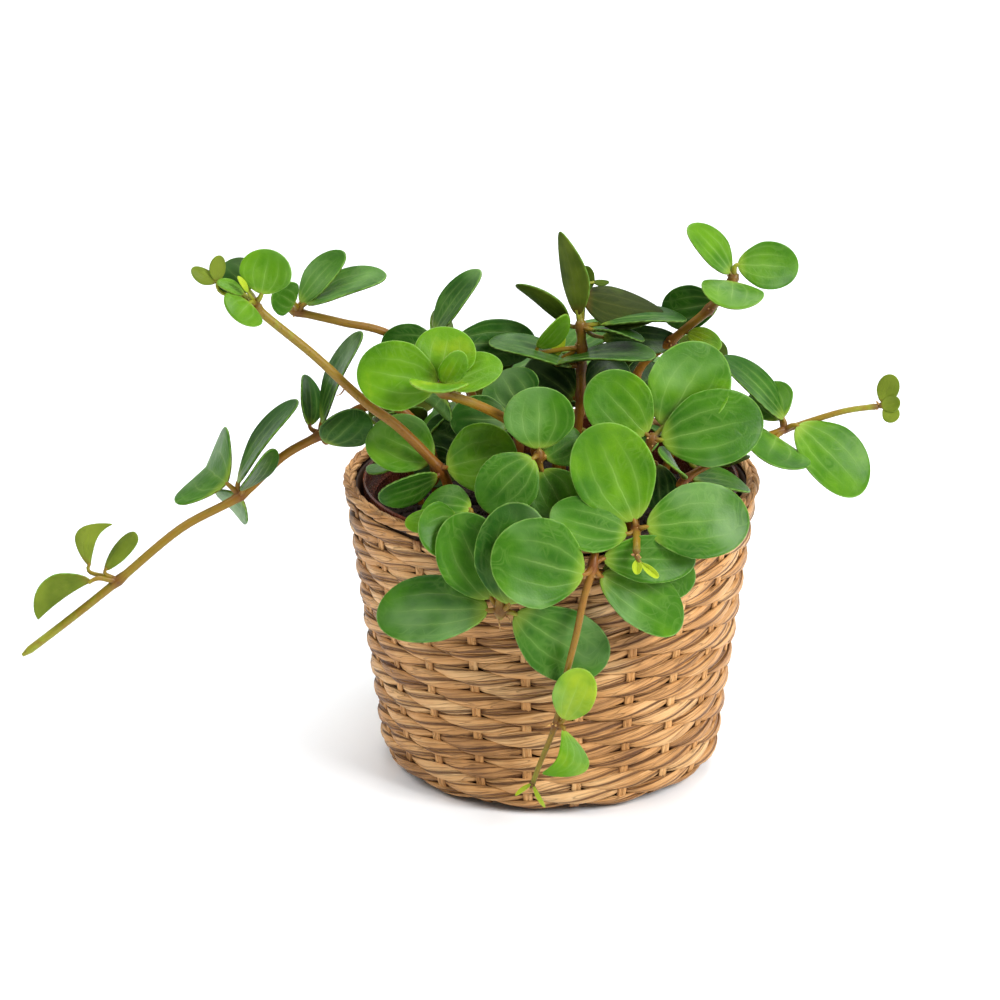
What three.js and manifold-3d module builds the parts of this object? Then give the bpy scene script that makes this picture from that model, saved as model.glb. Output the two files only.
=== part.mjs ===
// A trailing peperomia in its plastic nursery pot, stood in a woven basket.
// Millimetres, +Z up, the front towards -Y. The origin is the middle of the basket's foot.

import * as THREE from 'three';
import { mergeVertices } from 'three/addons/utils/BufferGeometryUtils.js';
import Module from 'manifold-3d';

const wasm = await Module();
wasm.setup();

// Driving dimensions

const GAP = 0.3; // between pieces that touch
const BASKET_HEIGHT = 101;
const BASKET_TOP_RADIUS = 70;
const SHOULDER_RADIUS = 58; // where the foot's round corner meets the straight wall
const SHOULDER_HEIGHT = 9;
const FOOT_RADIUS = 47;
const BASKET_WALL = 5;
const BASKET_FLOOR = 4;
const STAKES = 22;
const WEAVE_ROWS = 22;
const WEAVE_DEPTH = 2.2; // from the crest of a strand to where it dips behind a stake
const RIM_SECTION = 2.6; // half the height of the plaited border
const RIM_SIDES = 5;
const RIM_RIDGES = 32;
const RIDGE_DEPTH = 0.14; // as a share of the border's section

const POT_RIM_RADIUS = 62.9;
const POT_FLOOR_RADIUS = 46;
const POT_TOP = 99.5;
const POT_SIDES = 32;
const POT_COLLAR = 9; // height of the stiff band below the pot's mouth
const POT_WALL = 1;
const COLLAR_FLARE = 0.4; // how much wider the band is at its top
const COLLAR_STEP = 2; // how far the band stands out from the wall below it
const DRAIN_HOLES = 6;
const DRAIN_RADIUS = 3.5;
const DRAIN_CIRCLE = 32;
const DRAIN_SIDES = 8;

const SOIL_TOP = 87;
const SOIL_SWELL = 1.4; // how far the soil's surface rises and falls
const SWELL_WIDTH = 9; // the size of its humps, across and front to back
const SWELL_LENGTH = 7;
const ROOT_DEPTH = 12;
const HOLE_CLEARANCE = 0.6;
const HOLE_SIDES = 6;

const LEAF_THICKNESS = 1.1;
const STALK_WIDTH = 1.8;
const LONG_BLADE = 28; // a blade this long has one more cut in its outline
const STEM_SIDES = 5;
const NODE_SWELL = 1.35; // a stem is this much thicker where leaves grow from it
const BLADE_CUP = 0.07; // how far the blade's sides rise, as a share of its width
const BLADE_BOW = 0.05; // how far the blade bends back along its length

// The point of view that the plant's points are written from: a little above the front.
// A point is [across, up, front]: how far right of the pot's axis and how far above the middle
// of the view it is seen, and how far in front of the pot's axis it really is.

const VIEW_ELEVATION = THREE.MathUtils.degToRad(20);
const VIEW_TARGET = new THREE.Vector3(-17.1, 0, 91);
const VIEW_DISTANCE = 1500;
const TOWARDS_EYE = new THREE.Vector3(0, -Math.cos(VIEW_ELEVATION), Math.sin(VIEW_ELEVATION));
const EYE = VIEW_TARGET.clone().addScaledVector(TOWARDS_EYE, VIEW_DISTANCE);

function seen([across, up, front]) {
  const sight = new THREE.Vector3(
    across,
    up * Math.sin(VIEW_ELEVATION),
    VIEW_TARGET.z + up * Math.cos(VIEW_ELEVATION),
  ).sub(EYE);
  return EYE.clone().addScaledVector(sight, (-front - EYE.y) / sight.y);
}

// Closed solids

function toSolid(geometry) {
  const bare = geometry.clone();
  bare.deleteAttribute('normal');
  bare.deleteAttribute('uv');
  const merged = mergeVertices(bare, 1e-4);
  return new wasm.Manifold(new wasm.Mesh({
    numProp: 3,
    vertProperties: new Float32Array(merged.attributes.position.array),
    triVerts: new Uint32Array(merged.index.array),
  }));
}

function toGeometry(solid) {
  const mesh = solid.getMesh();
  const geometry = new THREE.BufferGeometry();
  geometry.setAttribute('position', new THREE.BufferAttribute(mesh.vertProperties, 3));
  geometry.setIndex(new THREE.BufferAttribute(mesh.triVerts, 1));
  geometry.computeVertexNormals();
  return geometry;
}

function surface(points, faces) {
  const geometry = new THREE.BufferGeometry();
  geometry.setFromPoints(points);
  geometry.setIndex(faces.flat());
  return geometry;
}

// Turned about the Z axis from a profile of [radius, height] that starts and ends on the axis.
function turned(profile, segments) {
  const points = profile.map(([radius, height]) => new THREE.Vector2(radius, height));
  const lathe = new THREE.LatheGeometry(points, segments).rotateX(Math.PI / 2);
  lathe.deleteAttribute('normal');
  lathe.deleteAttribute('uv');
  return mergeVertices(lathe, 1e-4);
}

// Moves each point of a geometry by a rule on its own place.
function reshape(geometry, rule) {
  const position = geometry.attributes.position;
  const point = new THREE.Vector3();
  for (let i = 0; i < position.count; i += 1) {
    rule(point.fromBufferAttribute(position, i));
    position.setXYZ(i, point.x, point.y, point.z);
  }
  return geometry;
}

// Basket

const WALL_TOP = BASKET_HEIGHT - 2 * RIM_SECTION - GAP;
const ROW_PITCH = WALL_TOP / WEAVE_ROWS;
const SAME_PLACE = 0.01; // points this near are at one height
const HALF_DIP = 0.4; // how far a strand has sunk midway between two stakes

function basketRadius(height) {
  if (height < SHOULDER_HEIGHT) {
    const drop = (SHOULDER_HEIGHT - height) / SHOULDER_HEIGHT;
    return FOOT_RADIUS + (SHOULDER_RADIUS - FOOT_RADIUS) * Math.sqrt(1 - drop * drop);
  }
  const climb = (height - SHOULDER_HEIGHT) / (BASKET_HEIGHT - SHOULDER_HEIGHT);
  return THREE.MathUtils.lerp(SHOULDER_RADIUS, BASKET_TOP_RADIUS, climb);
}

// A strand stands proud over every other stake, and the next row over the stakes between.
function basket() {
  const rows = Array.from({ length: WEAVE_ROWS }, (_, row) => (row + 0.5) * ROW_PITCH);
  const inside = (height) => basketRadius(height) - BASKET_WALL;
  const profile = [
    [0, 0],
    [FOOT_RADIUS - WEAVE_DEPTH, 0],
    ...rows.map((height) => [basketRadius(height), height]),
    [basketRadius(WALL_TOP) - WEAVE_DEPTH / 2, WALL_TOP],
    [inside(WALL_TOP) - GAP, WALL_TOP],
    [inside(BASKET_FLOOR) - GAP, BASKET_FLOOR],
    [0, BASKET_FLOOR],
  ];
  return reshape(turned(profile, STAKES * 2), (point) => {
    const row = rows.findIndex((height) => Math.abs(point.z - height) < SAME_PLACE);
    if (row < 0) return;
    const radius = Math.hypot(point.x, point.y);
    const column = Math.round((Math.atan2(point.y, point.x) / (2 * Math.PI)) * STAKES * 2);
    const atStake = column % 2 === 0;
    const behind = (((column / 2 + row) % 2) + 2) % 2 === 1;
    const atStakeDip = behind ? 1 : 0;
    const dip = (atStake ? atStakeDip : HALF_DIP) * WEAVE_DEPTH;
    point.multiply(new THREE.Vector3(1 - dip / radius, 1 - dip / radius, 1));
  });
}

function basketRim() {
  const height = BASKET_HEIGHT - RIM_SECTION;
  const radius = BASKET_TOP_RADIUS - RIM_SECTION;
  const ring = new THREE.TorusGeometry(radius, RIM_SECTION, RIM_SIDES, RIM_RIDGES * 2);
  ring.deleteAttribute('normal');
  ring.deleteAttribute('uv');
  return reshape(mergeVertices(ring, 1e-4), (point) => {
    const around = Math.atan2(point.y, point.x);
    const side = Math.hypot(point.x, point.y) - radius;
    const turn = Math.atan2(point.z, side);
    const ridge = 1 - RIDGE_DEPTH + RIDGE_DEPTH * Math.cos(RIM_RIDGES * around + turn);
    const middle = new THREE.Vector3(radius * Math.cos(around), radius * Math.sin(around), 0);
    point.sub(middle).multiplyScalar(ridge).add(middle);
    point.z += height;
  });
}

// Nursery pot and soil

const POT_BASE = BASKET_FLOOR + GAP;
const COLLAR_FOOT = POT_TOP - POT_COLLAR;

function potRadius(height) {
  const climb = (height - POT_BASE) / (COLLAR_FOOT - POT_BASE);
  return THREE.MathUtils.lerp(POT_FLOOR_RADIUS, POT_RIM_RADIUS - COLLAR_STEP - COLLAR_FLARE, climb);
}

function nurseryPot() {
  const wallTop = potRadius(COLLAR_FOOT);
  const cup = toSolid(turned([
    [0, POT_BASE],
    [POT_FLOOR_RADIUS, POT_BASE],
    [wallTop, COLLAR_FOOT],
    [POT_RIM_RADIUS - COLLAR_FLARE, COLLAR_FOOT],
    [POT_RIM_RADIUS, POT_TOP],
    [POT_RIM_RADIUS - POT_WALL, POT_TOP],
    [POT_RIM_RADIUS - COLLAR_FLARE - POT_WALL, COLLAR_FOOT + POT_WALL],
    [wallTop - POT_WALL, COLLAR_FOOT + POT_WALL],
    [POT_FLOOR_RADIUS - POT_WALL, POT_BASE + POT_WALL],
    [0, POT_BASE + POT_WALL],
  ], POT_SIDES));
  const drains = Array.from({ length: DRAIN_HOLES }, (_, hole) => {
    const angle = (hole / DRAIN_HOLES) * 2 * Math.PI;
    const pin = new THREE.CylinderGeometry(DRAIN_RADIUS, DRAIN_RADIUS, 4 * POT_WALL, DRAIN_SIDES);
    pin.rotateX(Math.PI / 2);
    pin.translate(DRAIN_CIRCLE * Math.cos(angle), DRAIN_CIRCLE * Math.sin(angle), POT_BASE);
    return toSolid(pin);
  });
  return toGeometry(drains.reduce((rest, drain) => rest.subtract(drain), cup));
}

function soil(roots) {
  const floor = POT_BASE + POT_WALL + GAP;
  const edge = (height) => potRadius(height) - POT_WALL - 2 * GAP;
  const heap = reshape(turned([
    [0, floor],
    [edge(floor), floor],
    [edge(SOIL_TOP), SOIL_TOP],
    [(edge(SOIL_TOP) * 2) / 3, SOIL_TOP],
    [edge(SOIL_TOP) / 3, SOIL_TOP],
    [0, SOIL_TOP],
  ], POT_SIDES), (point) => {
    const swell = Math.sin(point.x / SWELL_WIDTH) * Math.cos(point.y / SWELL_LENGTH);
    if (point.z > floor + SAME_PLACE) point.z += SOIL_SWELL * swell;
  });
  const holes = roots.map(({ foot, radius }) => {
    const depth = ROOT_DEPTH + 2 * SOIL_SWELL;
    const reach = radius + HOLE_CLEARANCE;
    const hole = new THREE.CylinderGeometry(reach, reach, depth, HOLE_SIDES);
    hole.rotateX(Math.PI / 2);
    hole.translate(foot.x, foot.y, SOIL_TOP - ROOT_DEPTH + depth / 2);
    return toSolid(hole);
  });
  return toGeometry(holes.reduce((rest, hole) => rest.subtract(hole), toSolid(heap)));
}

// Shoots

// A stem: rings along a smooth curve through its points, thicker at the ones leaves grow from.
function stem(points, radius, tipRadius, nodes) {
  const curve = new THREE.CatmullRomCurve3(points);
  const last = points.length - 1;
  const vertices = [];
  const faces = [];
  const side = new THREE.Vector3(1, 0, 0);
  for (let i = 0; i <= last; i += 1) {
    const along = i / last;
    const tangent = curve.getTangent(along);
    side.addScaledVector(tangent, -side.dot(tangent)).normalize();
    const other = tangent.clone().cross(side);
    const swell = nodes.has(i) ? NODE_SWELL : 1;
    const ring = THREE.MathUtils.lerp(radius, tipRadius, along) * swell;
    for (let k = 0; k < STEM_SIDES; k += 1) {
      const angle = (k / STEM_SIDES) * 2 * Math.PI;
      vertices.push(points[i].clone()
        .addScaledVector(side, ring * Math.cos(angle))
        .addScaledVector(other, ring * Math.sin(angle)));
      if (i === last) continue;
      const here = i * STEM_SIDES + k;
      const next = i * STEM_SIDES + ((k + 1) % STEM_SIDES);
      faces.push([here, next, next + STEM_SIDES], [here, next + STEM_SIDES, here + STEM_SIDES]);
    }
  }
  for (let k = 1; k < STEM_SIDES - 1; k += 1) {
    const cap = last * STEM_SIDES;
    faces.push([0, k + 1, k], [cap, cap + k, cap + k + 1]);
  }
  return surface(vertices, faces);
}

// The way a blade faces: as squarely as it can towards a given side, then rolled about its length.
function facing(base, tip, towards, roll) {
  const along = tip.clone().sub(base).normalize();
  const face = towards.clone().addScaledVector(along, -towards.dot(along)).normalize();
  return face.applyAxisAngle(along, THREE.MathUtils.degToRad(roll));
}

// A leaf: one strip three points wide, from inside the stem, along its stalk, to the blade's tip.
// It turns out of the stalk's direction into the blade's over its first length.
function leaf({ node, base, tip, width, face }) {
  const length = base.distanceTo(tip);
  const along = tip.clone().sub(base).normalize();
  const across = along.clone().cross(face);
  const stalk = base.clone().sub(node).normalize();
  const turnTo = (way) => new THREE.Quaternion().setFromUnitVectors(along, way.normalize());
  const stalkTurn = turnTo(stalk.clone());
  const halfTurn = turnTo(stalk.clone().add(along));
  const bladeTurn = new THREE.Quaternion();
  const cuts = length > LONG_BLADE ? 4 : 3;
  const stations = [{ middle: node, half: STALK_WIDTH / 2, rise: 0, turn: stalkTurn }];
  for (let i = 0; i <= cuts; i += 1) {
    const angle = (i / (cuts + 1)) * Math.PI;
    const share = (1 - Math.cos(angle)) / 2;
    const half = Math.max((Math.sin(angle) * width) / 2, STALK_WIDTH / 2);
    const middle = base.clone().addScaledVector(along, share * length);
    middle.addScaledVector(face, BLADE_BOW * length * (4 * share * (1 - share)));
    const rise = i === 0 ? 0 : half * 2 * BLADE_CUP;
    stations.push({ middle, half, rise, turn: i === 0 ? halfTurn : bladeTurn });
  }
  const vertices = [];
  for (const level of [0.5, -0.5]) {
    for (const { middle, half, rise, turn } of stations) {
      for (const side of [-1, 0, 1]) {
        const lift = level * LEAF_THICKNESS + Math.abs(side) * rise;
        vertices.push(middle.clone()
          .addScaledVector(across.clone().applyQuaternion(turn), side * half)
          .addScaledVector(face.clone().applyQuaternion(turn), lift));
      }
    }
    vertices.push(tip.clone().addScaledVector(face, level * LEAF_THICKNESS));
  }
  const end = stations.length * 3;
  const under = end + 1;
  const top = [];
  for (let i = 0; i < end - 3; i += 3) {
    top.push([i, i + 1, i + 4], [i, i + 4, i + 3], [i + 1, i + 2, i + 4], [i + 2, i + 5, i + 4]);
  }
  top.push([end - 3, end - 2, end], [end - 2, end - 1, end]);
  const left = Array.from({ length: end / 3 }, (_, i) => i * 3);
  const rim = [1, ...left, end, ...left.map((i) => i + 2).reverse()];
  const edge = rim.flatMap((here, i) => {
    const next = rim[(i + 1) % rim.length];
    return [[here, next, next + under], [here, next + under, here + under]];
  });
  const bottom = top.map(([a, b, c]) => [a + under, c + under, b + under]);
  return surface(vertices, [...top, ...bottom, ...edge]);
}

// The shoots that the front shows. root is [across, front] in the soil, and path is seen points.
// A leaf is [path point it grows from, blade's base, blade's tip, width, roll].
const SEEN_SHOOTS = [
  {
    name: 'shoot_trail_left', root: [-38, 12], radii: [1.65, 1.35],
    path: [[-40, 16, 12], [-50, 30, 12], [-63, 31, 15], [-77, 22, 18], [-90, 14.5, 20], [-104, 1.5, 22],
      [-124, -9.5, 24], [-145, -27, 26], [-160, -39, 27], [-177, -52, 28]],
    leaves: [
      [7, [-153, -27.5, 29.5], [-172, -40, 34], 13, 50], [7, [-156, -20, 24], [-147, -8, 19], 10, 60],
      [7, [-149.5, -23.5, 27.5], [-139, -11, 26], 11, 60], [5, [-109, 3, 22], [-116, 10.5, 0], 30, 8],
      [5, [-105, 6, 22], [-84.5, 33, 24], 20, -70], [5, [-103, 3.5, 25], [-94, 17, 34], 14, 70],
      [5, [-104, 1, 19], [-107, -3, 0], 15, 0], [3, [-81, 25, 14], [-82, 42, 4], 13, 60],
      [3, [-77, 26, 18], [-63, 56, 20], 20, -70], [3, [-75, 19, 20], [-63, 30, 26], 18, 40],
    ],
  },
  {
    name: 'shoot_upper_left', root: [-30, 31], radii: [1.8, 1.4],
    path: [[-34, 3, 33], [-37.5, 10.5, 36], [-50, 23.5, 37], [-60, 31, 38], [-67, 37, 38], [-80, 49, 39],
      [-96, 62, 40], [-99, 66, 40]],
    leaves: [
      [1, [-40, 12.5, 33], [-61, 22, 24], 20, 20], [1, [-35, 11, 38], [-11.5, 17, 36], 23, 0],
      [1, [-38, 8, 38], [-58, 1, 46], 14, -50], [7, [-101, 66, 44], [-106, 60.5, 50], 15, 0],
      [7, [-97, 69, 42], [-94, 84, 40], 17, 0], [7, [-101, 70, 36], [-110, 79, 32], 14, 10],
      [7, [-103, 69, 42], [-112, 73, 44], 6, 50], [7, [-112, 73, 42], [-120.5, 77.5, 42], 5.5, 30],
      [7, [-112, 73, 42], [-111, 82, 40], 5.5, 30],
    ],
  },
  {
    name: 'shoot_behind_left', root: [-22, -6], radii: [1.5, 1.3],
    path: [[-28, 38, -5], [-53, 55, -2], [-70, 59.5, 0], [-85, 63, 0], [-88, 64, 0]],
    leaves: [
      [3, [-84, 66, 0], [-69, 83, -2], 14, -45], [3, [-82, 66, 2], [-55, 75, 4], 20, -62],
      [3, [-86, 66, 4], [-93, 70, 14], 12, 0],
    ],
  },
  {
    name: 'shoot_bright', root: [-3, 28], radii: [1.65, 1.5],
    path: [[-6, 20, 36], [-15, 27, 40], [-25, 32, 44], [-36, 36, 48], [-38, 38, 49]],
    leaves: [
      [3, [-38, 39, 49], [-65, 44, 46], 22.5, 0], [3, [-37, 40, 48], [-34, 58, 40], 20, 0],
      [3, [-36, 39, 50], [-30, 50, 52], 9, 20], [3, [-34, 38, 49], [-16.5, 46, 46], 15, -35],
      [3, [-37, 38.5, 51], [-38.5, 36, 67], 19, 0], [3, [-36, 34, 46], [-38, 28, 30], 16, 0],
    ],
  },
  {
    name: 'shoot_back_rosette', root: [-20, 4], radii: [1.5, 1.4],
    path: [[-26, 34, 4], [-35, 50, 4], [-36, 53, 4]],
    leaves: [
      [1, [-38, 52, 4], [-57, 52, 2], 14, 0], [1, [-39, 56, 3], [-23.5, 77, 0], 15, -55],
      [1, [-33, 52, 2], [-5, 53, -8], 16, 0],
    ],
  },
  {
    name: 'shoot_dark_left', root: [-10, 18], radii: [1.5, 1.4],
    path: [[-11, 18, 20], [-12, 27, 20], [-12, 30, 20]],
    leaves: [
      [1, [-10, 30, 20], [-17, 43, 14], 20, 0], [1, [-14, 27, 21], [-34, 27, 24], 16, 0],
    ],
  },
  {
    name: 'shoot_upright', root: [6, 4], radii: [1.6, 1.5],
    path: [[9, 25, 4], [10, 35, 4], [10, 45, 4], [11.5, 51, 4], [10, 58, 4], [10, 61, 4]],
    leaves: [
      [2, [7, 45, 5], [-21, 52.5, 8], 20, 68], [3, [-3, 50, 9], [4.5, 62, 6], 9, 50],
      [2, [12, 45, 6], [28, 47, 26], 26, -80], [4, [9, 62, 4], [3, 90, 2], 17, 120],
      [4, [13, 68, 4], [37, 64, 0], 20, 130],
      [4, [4, 60, 6], [-11, 72.5, 10], 14, 65], [4, [14, 57, 7], [31, 53, 14], 14, -80],
      [4, [16, 59, 5], [45.5, 60.5, 2], 20, -72],
    ],
  },
  {
    name: 'shoot_top_right', root: [24, -10], radii: [1.5, 1.4],
    path: [[28, 40, -8], [40, 53, -6], [53, 64, -4], [61, 74, -3], [62, 76, -3]],
    leaves: [
      [3, [60, 76, -3], [46, 92, -6], 15, 45], [3, [62.5, 79, -3], [83, 78, -5], 16, 0],
      [3, [61, 73, -1], [60, 64, 14], 21, 0], [2, [56, 66, -8], [37, 63, -16], 15, 0],
      [1, [46, 56, -4], [57, 51, 4], 8, 0],
    ],
  },
  {
    name: 'shoot_trail_right', root: [36, 37], radii: [1.3, 1],
    path: [[40, 0, 41], [45, 7, 45], [56, 13.5, 40], [68, 20, 24], [78, 23.5, 12], [97, 29.5, 10],
      [110, 31.5, 9]],
    leaves: [
      [4, [78, 27, 11], [57, 48, 4], 19, 60], [4, [77, 27, 10], [70.5, 38.5, -2], 16, 0],
      [4, [82, 24, 14], [104.5, 2.5, 22], 22, -34], [4, [75.5, 21, 16], [71.5, 13.5, 36], 25, 0],
      [6, [111, 33, 9], [114, 42, 8], 6.5, 20], [6, [112, 31, 10], [116, 27, 16], 6.5, 0],
      [1, [47, 7, 43], [66, 4, 34], 16, -65], [1, [44, 8, 47], [36.5, 15, 53], 15, 80],
    ],
  },
  {
    name: 'shoot_right', root: [26, 38], radii: [1.6, 1.5],
    path: [[31, 12, 43], [34, 20.5, 45], [35, 22, 45]],
    leaves: [
      [1, [32, 22, 45], [14, 41, 38], 22, 0], [1, [36, 24, 43], [50, 52, 34], 26, 0],
      [1, [37, 20, 47], [71, 28, 42], 25, 0],
    ],
  },
  {
    name: 'shoot_front_right', root: [24, 45], radii: [1.6, 1.1],
    path: [[26, -1, 54], [27.5, -6, 61], [28.5, -10, 66], [28.7, -15, 75], [28.5, -18.5, 78]],
    leaves: [
      [2, [28, -7, 66], [14, 25, 50], 27, 0], [2, [25, -11, 69], [-1, -4.5, 68], 19, 38],
      [2, [32, -9, 68], [66.5, -6, 62], 25, -10], [4, [28.8, -20, 78], [28.8, -25, 80], 4, 0],
      [4, [30, -21, 79], [36, -26, 79], 3.5, 0],
    ],
  },
  {
    name: 'shoot_hanging', root: [12, 47], radii: [1.65, 0.8],
    path: [[13, -4, 58], [15, -10.5, 68], [14, -22, 76], [11, -33, 77.5], [8.5, -45, 77.5], [5, -59, 76.5],
      [1.5, -75, 74], [-4, -89, 71], [-6.5, -96, 70]],
    leaves: [
      [2, [18, -22, 72], [49, -22, 63], 17, 0], [2, [17, -25, 70], [47, -28, 58], 18, 0],
      [2, [11, -25, 80], [-20, -17, 84], 29, 0], [2, [16, -26, 77], [43, -43, 72], 21, -30],
      [6, [5, -73.5, 76], [10.5, -56, 80], 12, 0], [6, [6.5, -78, 76], [4.5, -93.5, 79], 14, 0],
    ],
  },
  {
    name: 'shoot_front_left', root: [-12, 47], radii: [1.6, 1.5],
    path: [[-13, -4, 57], [-15, -10.5, 68], [-16.5, -22, 76], [-17, -37, 77], [-17, -40, 77]],
    leaves: [
      [3, [-21, -37, 77], [-58.5, -38, 64], 23, 20], [3, [-12, -38, 75], [18, -56, 65], 24, 10],
      [3, [-20, -33, 78], [-33, -6, 70], 21, 0], [3, [-15, -35, 76], [-10, -1, 68], 25, 0],
    ],
  },
  {
    name: 'shoot_front_centre', root: [-6, 38], radii: [1.6, 1.5],
    path: [[-5, 5, 46], [-4, 15, 50], [-4, 17, 50]],
    leaves: [
      [1, [-4, 17, 50], [-4, 38, 44], 23, 0], [1, [-6, 14, 53], [-23, -3, 60], 20, 0],
      [1, [-2, 14, 48], [10, 22, 42], 14, 0], [1, [-3, 10, 50], [6, -6, 54], 18, 0],
    ],
  },
  {
    name: 'shoot_low_left', root: [-24, 44], radii: [1.5, 1.4],
    path: [[-26, -6, 54], [-28, -7, 61], [-28.5, -7, 63]],
    leaves: [
      [1, [-30, -8, 61], [-44, -13, 70], 19, 0], [1, [-27, -3, 60], [-43, -2, 52], 16, 40],
      [1, [-32, -6, 62], [-49, -8, 58], 8, 0],
    ],
  },
];

// The shoots that the front hides, given by real points of [right, front, height].
// A whorl of leaves grows from each point listed in whorls.
const HIDDEN_SHOOTS = [
  {
    name: 'shoot_back_trail_left', seed: 1, root: [-16, -34], radii: [1.6, 1.2], leafLength: 27,
    path: [[-19, -46, 116], [-25, -62, 122], [-31, -79, 106], [-35, -87, 82], [-37, -88, 58]],
    whorls: [0, 2, 3, 4],
  },
  {
    name: 'shoot_back_trail_right', seed: 3, root: [19, -36], radii: [1.6, 1.3], leafLength: 27,
    path: [[22, -47, 117], [28, -63, 122], [32, -79, 108], [34, -87, 88]],
    whorls: [0, 2, 3],
  },
  {
    name: 'shoot_back_centre', seed: 35, root: [2, -16], radii: [1.6, 1.5], leafLength: 23,
    path: [[2, -17, 110], [1, -19, 133]],
    whorls: [1],
  },
  {
    name: 'shoot_back_left', seed: 8, root: [-36, -24], radii: [1.5, 1.4], leafLength: 21,
    path: [[-40, -27, 98], [-44, -30, 104]],
    whorls: [1],
  },
  {
    name: 'shoot_back_right', seed: 4, root: [38, -24], radii: [1.5, 1.4], leafLength: 23,
    path: [[42, -27, 101], [46, -31, 109]],
    whorls: [1],
  },
  {
    name: 'shoot_left_side', seed: 7, root: [-44, -4], radii: [1.5, 1.4], leafLength: 20,
    path: [[-46, -4, 98], [-49, -4, 103]],
    whorls: [1],
  },
  {
    name: 'shoot_right_side', seed: 1, root: [46, 4], radii: [1.5, 1.4], leafLength: 20,
    path: [[48, 3, 97], [50, 1, 101]],
    whorls: [1],
  },
  {
    name: 'shoot_inner_right', seed: 20, root: [21, 18], radii: [1.5, 1.4], leafLength: 20,
    path: [[21, 17, 99], [21, 16, 107]],
    whorls: [1],
  },
  {
    name: 'shoot_inner_back', seed: 9, root: [4, -28], radii: [1.5, 1.4], leafLength: 17,
    path: [[4, -29, 103], [4, -30, 113]],
    whorls: [1],
  },
  {
    name: 'shoot_middle', seed: 22, root: [12, -4], radii: [1.5, 1.4], leafLength: 17,
    path: [[12, -4, 103], [13, -4, 113]],
    whorls: [1],
  },
  {
    name: 'shoot_inner_left', seed: 2, root: [-18, -20], radii: [1.5, 1.4], leafLength: 19,
    path: [[-18, -21, 98], [-18, -22, 104]],
    whorls: [1],
  },
];

const WHORL = 3; // leaves round a node
const WHORL_SPREAD = THREE.MathUtils.degToRad(72); // between a leaf and the stem ahead of it
const WHORL_STALK = 5;
const WHORL_SCATTER = 0.3; // how unevenly its leaves are spaced and sized
const LEAF_ROUNDNESS = 0.8; // a blade's width as a share of its length
const POT_CLEARANCE = 2;

const finishes = {
  basket: new THREE.MeshStandardMaterial({ color: 0xbe9160, roughness: 0.75, metalness: 0 }),
  rim: new THREE.MeshStandardMaterial({ color: 0xb0814f, roughness: 0.75, metalness: 0 }),
  pot: new THREE.MeshStandardMaterial({ color: 0x6b3322, roughness: 0.35, metalness: 0 }),
  soil: new THREE.MeshStandardMaterial({ color: 0x33251b, roughness: 0.95, metalness: 0 }),
  foliage: new THREE.MeshStandardMaterial({ color: 0x4d8a33, roughness: 0.45, metalness: 0 }),
};

// Every stem rises straight out of its hole in the soil.
function rootPoints([right, front]) {
  const foot = new THREE.Vector3(right, -front, SOIL_TOP - ROOT_DEPTH + GAP);
  return [foot, new THREE.Vector3(right, -front, SOIL_TOP + SOIL_SWELL)];
}

function seenShoot({ name, root, radii, path, leaves }) {
  const points = [...rootPoints(root), ...path.map(seen)];
  return {
    name,
    radii,
    points,
    leaves: leaves.map(([grows, base, tip, width, roll]) => ({
      node: points[grows + 2],
      grows: grows + 2,
      base: seen(base),
      tip: seen(tip),
      width,
      face: facing(seen(base), seen(tip), TOWARDS_EYE, roll),
    })),
  };
}

const DRAW_FACTOR = 48271; // of a multiplying generator over a prime range
const DRAW_RANGE = 2147483647;

// Numbers from 0 to 1 that are the same on each run.
function draws(seed) {
  let state = seed;
  return () => {
    state = (state * DRAW_FACTOR) % DRAW_RANGE;
    return state / DRAW_RANGE;
  };
}

function clearOfPot(point) {
  const radius = Math.hypot(point.x, point.y);
  const inSoil = radius < POT_FLOOR_RADIUS && point.z > SOIL_TOP + POT_CLEARANCE;
  const overRim = point.z > BASKET_HEIGHT + POT_CLEARANCE;
  return overRim || inSoil || radius > basketRadius(point.z) + POT_CLEARANCE;
}

function whorl(grows, points, leafLength, draw) {
  const node = points[grows];
  const ahead = points[grows].clone().sub(points[grows - 1]).normalize();
  const side = new THREE.Vector3(ahead.z, ahead.x, ahead.y).cross(ahead).normalize();
  const other = ahead.clone().cross(side);
  const start = draw() * 2 * Math.PI;
  const leaves = [];
  for (let k = 0; k < WHORL; k += 1) {
    const angle = start + ((k + WHORL_SCATTER * draw()) / WHORL) * 2 * Math.PI;
    const length = leafLength * (1 + WHORL_SCATTER * (draw() - 0.5));
    const out = side.clone().multiplyScalar(Math.cos(angle)).addScaledVector(other, Math.sin(angle));
    const along = out.multiplyScalar(Math.sin(WHORL_SPREAD)).addScaledVector(ahead, Math.cos(WHORL_SPREAD));
    const base = node.clone().addScaledVector(along, WHORL_STALK);
    const tip = base.clone().addScaledVector(along, length);
    const width = length * LEAF_ROUNDNESS;
    const face = facing(base, tip, ahead.clone().add(new THREE.Vector3(0, 0, 1)), 0);
    const across = along.clone().cross(face).multiplyScalar(width / 2);
    const middle = base.clone().lerp(tip, 0.5);
    const corners = [tip, middle.clone().add(across), middle.clone().sub(across)];
    if (corners.every(clearOfPot)) leaves.push({ node, grows, base, tip, width, face });
  }
  return leaves;
}

function hiddenShoot({ name, seed, root, radii, leafLength, path, whorls }) {
  const draw = draws(seed);
  const rise = path.map(([right, front, up]) => new THREE.Vector3(right, -front, up));
  const points = [...rootPoints(root), ...rise];
  return { name, radii, points, leaves: whorls.flatMap((at) => whorl(at + 2, points, leafLength, draw)) };
}

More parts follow.
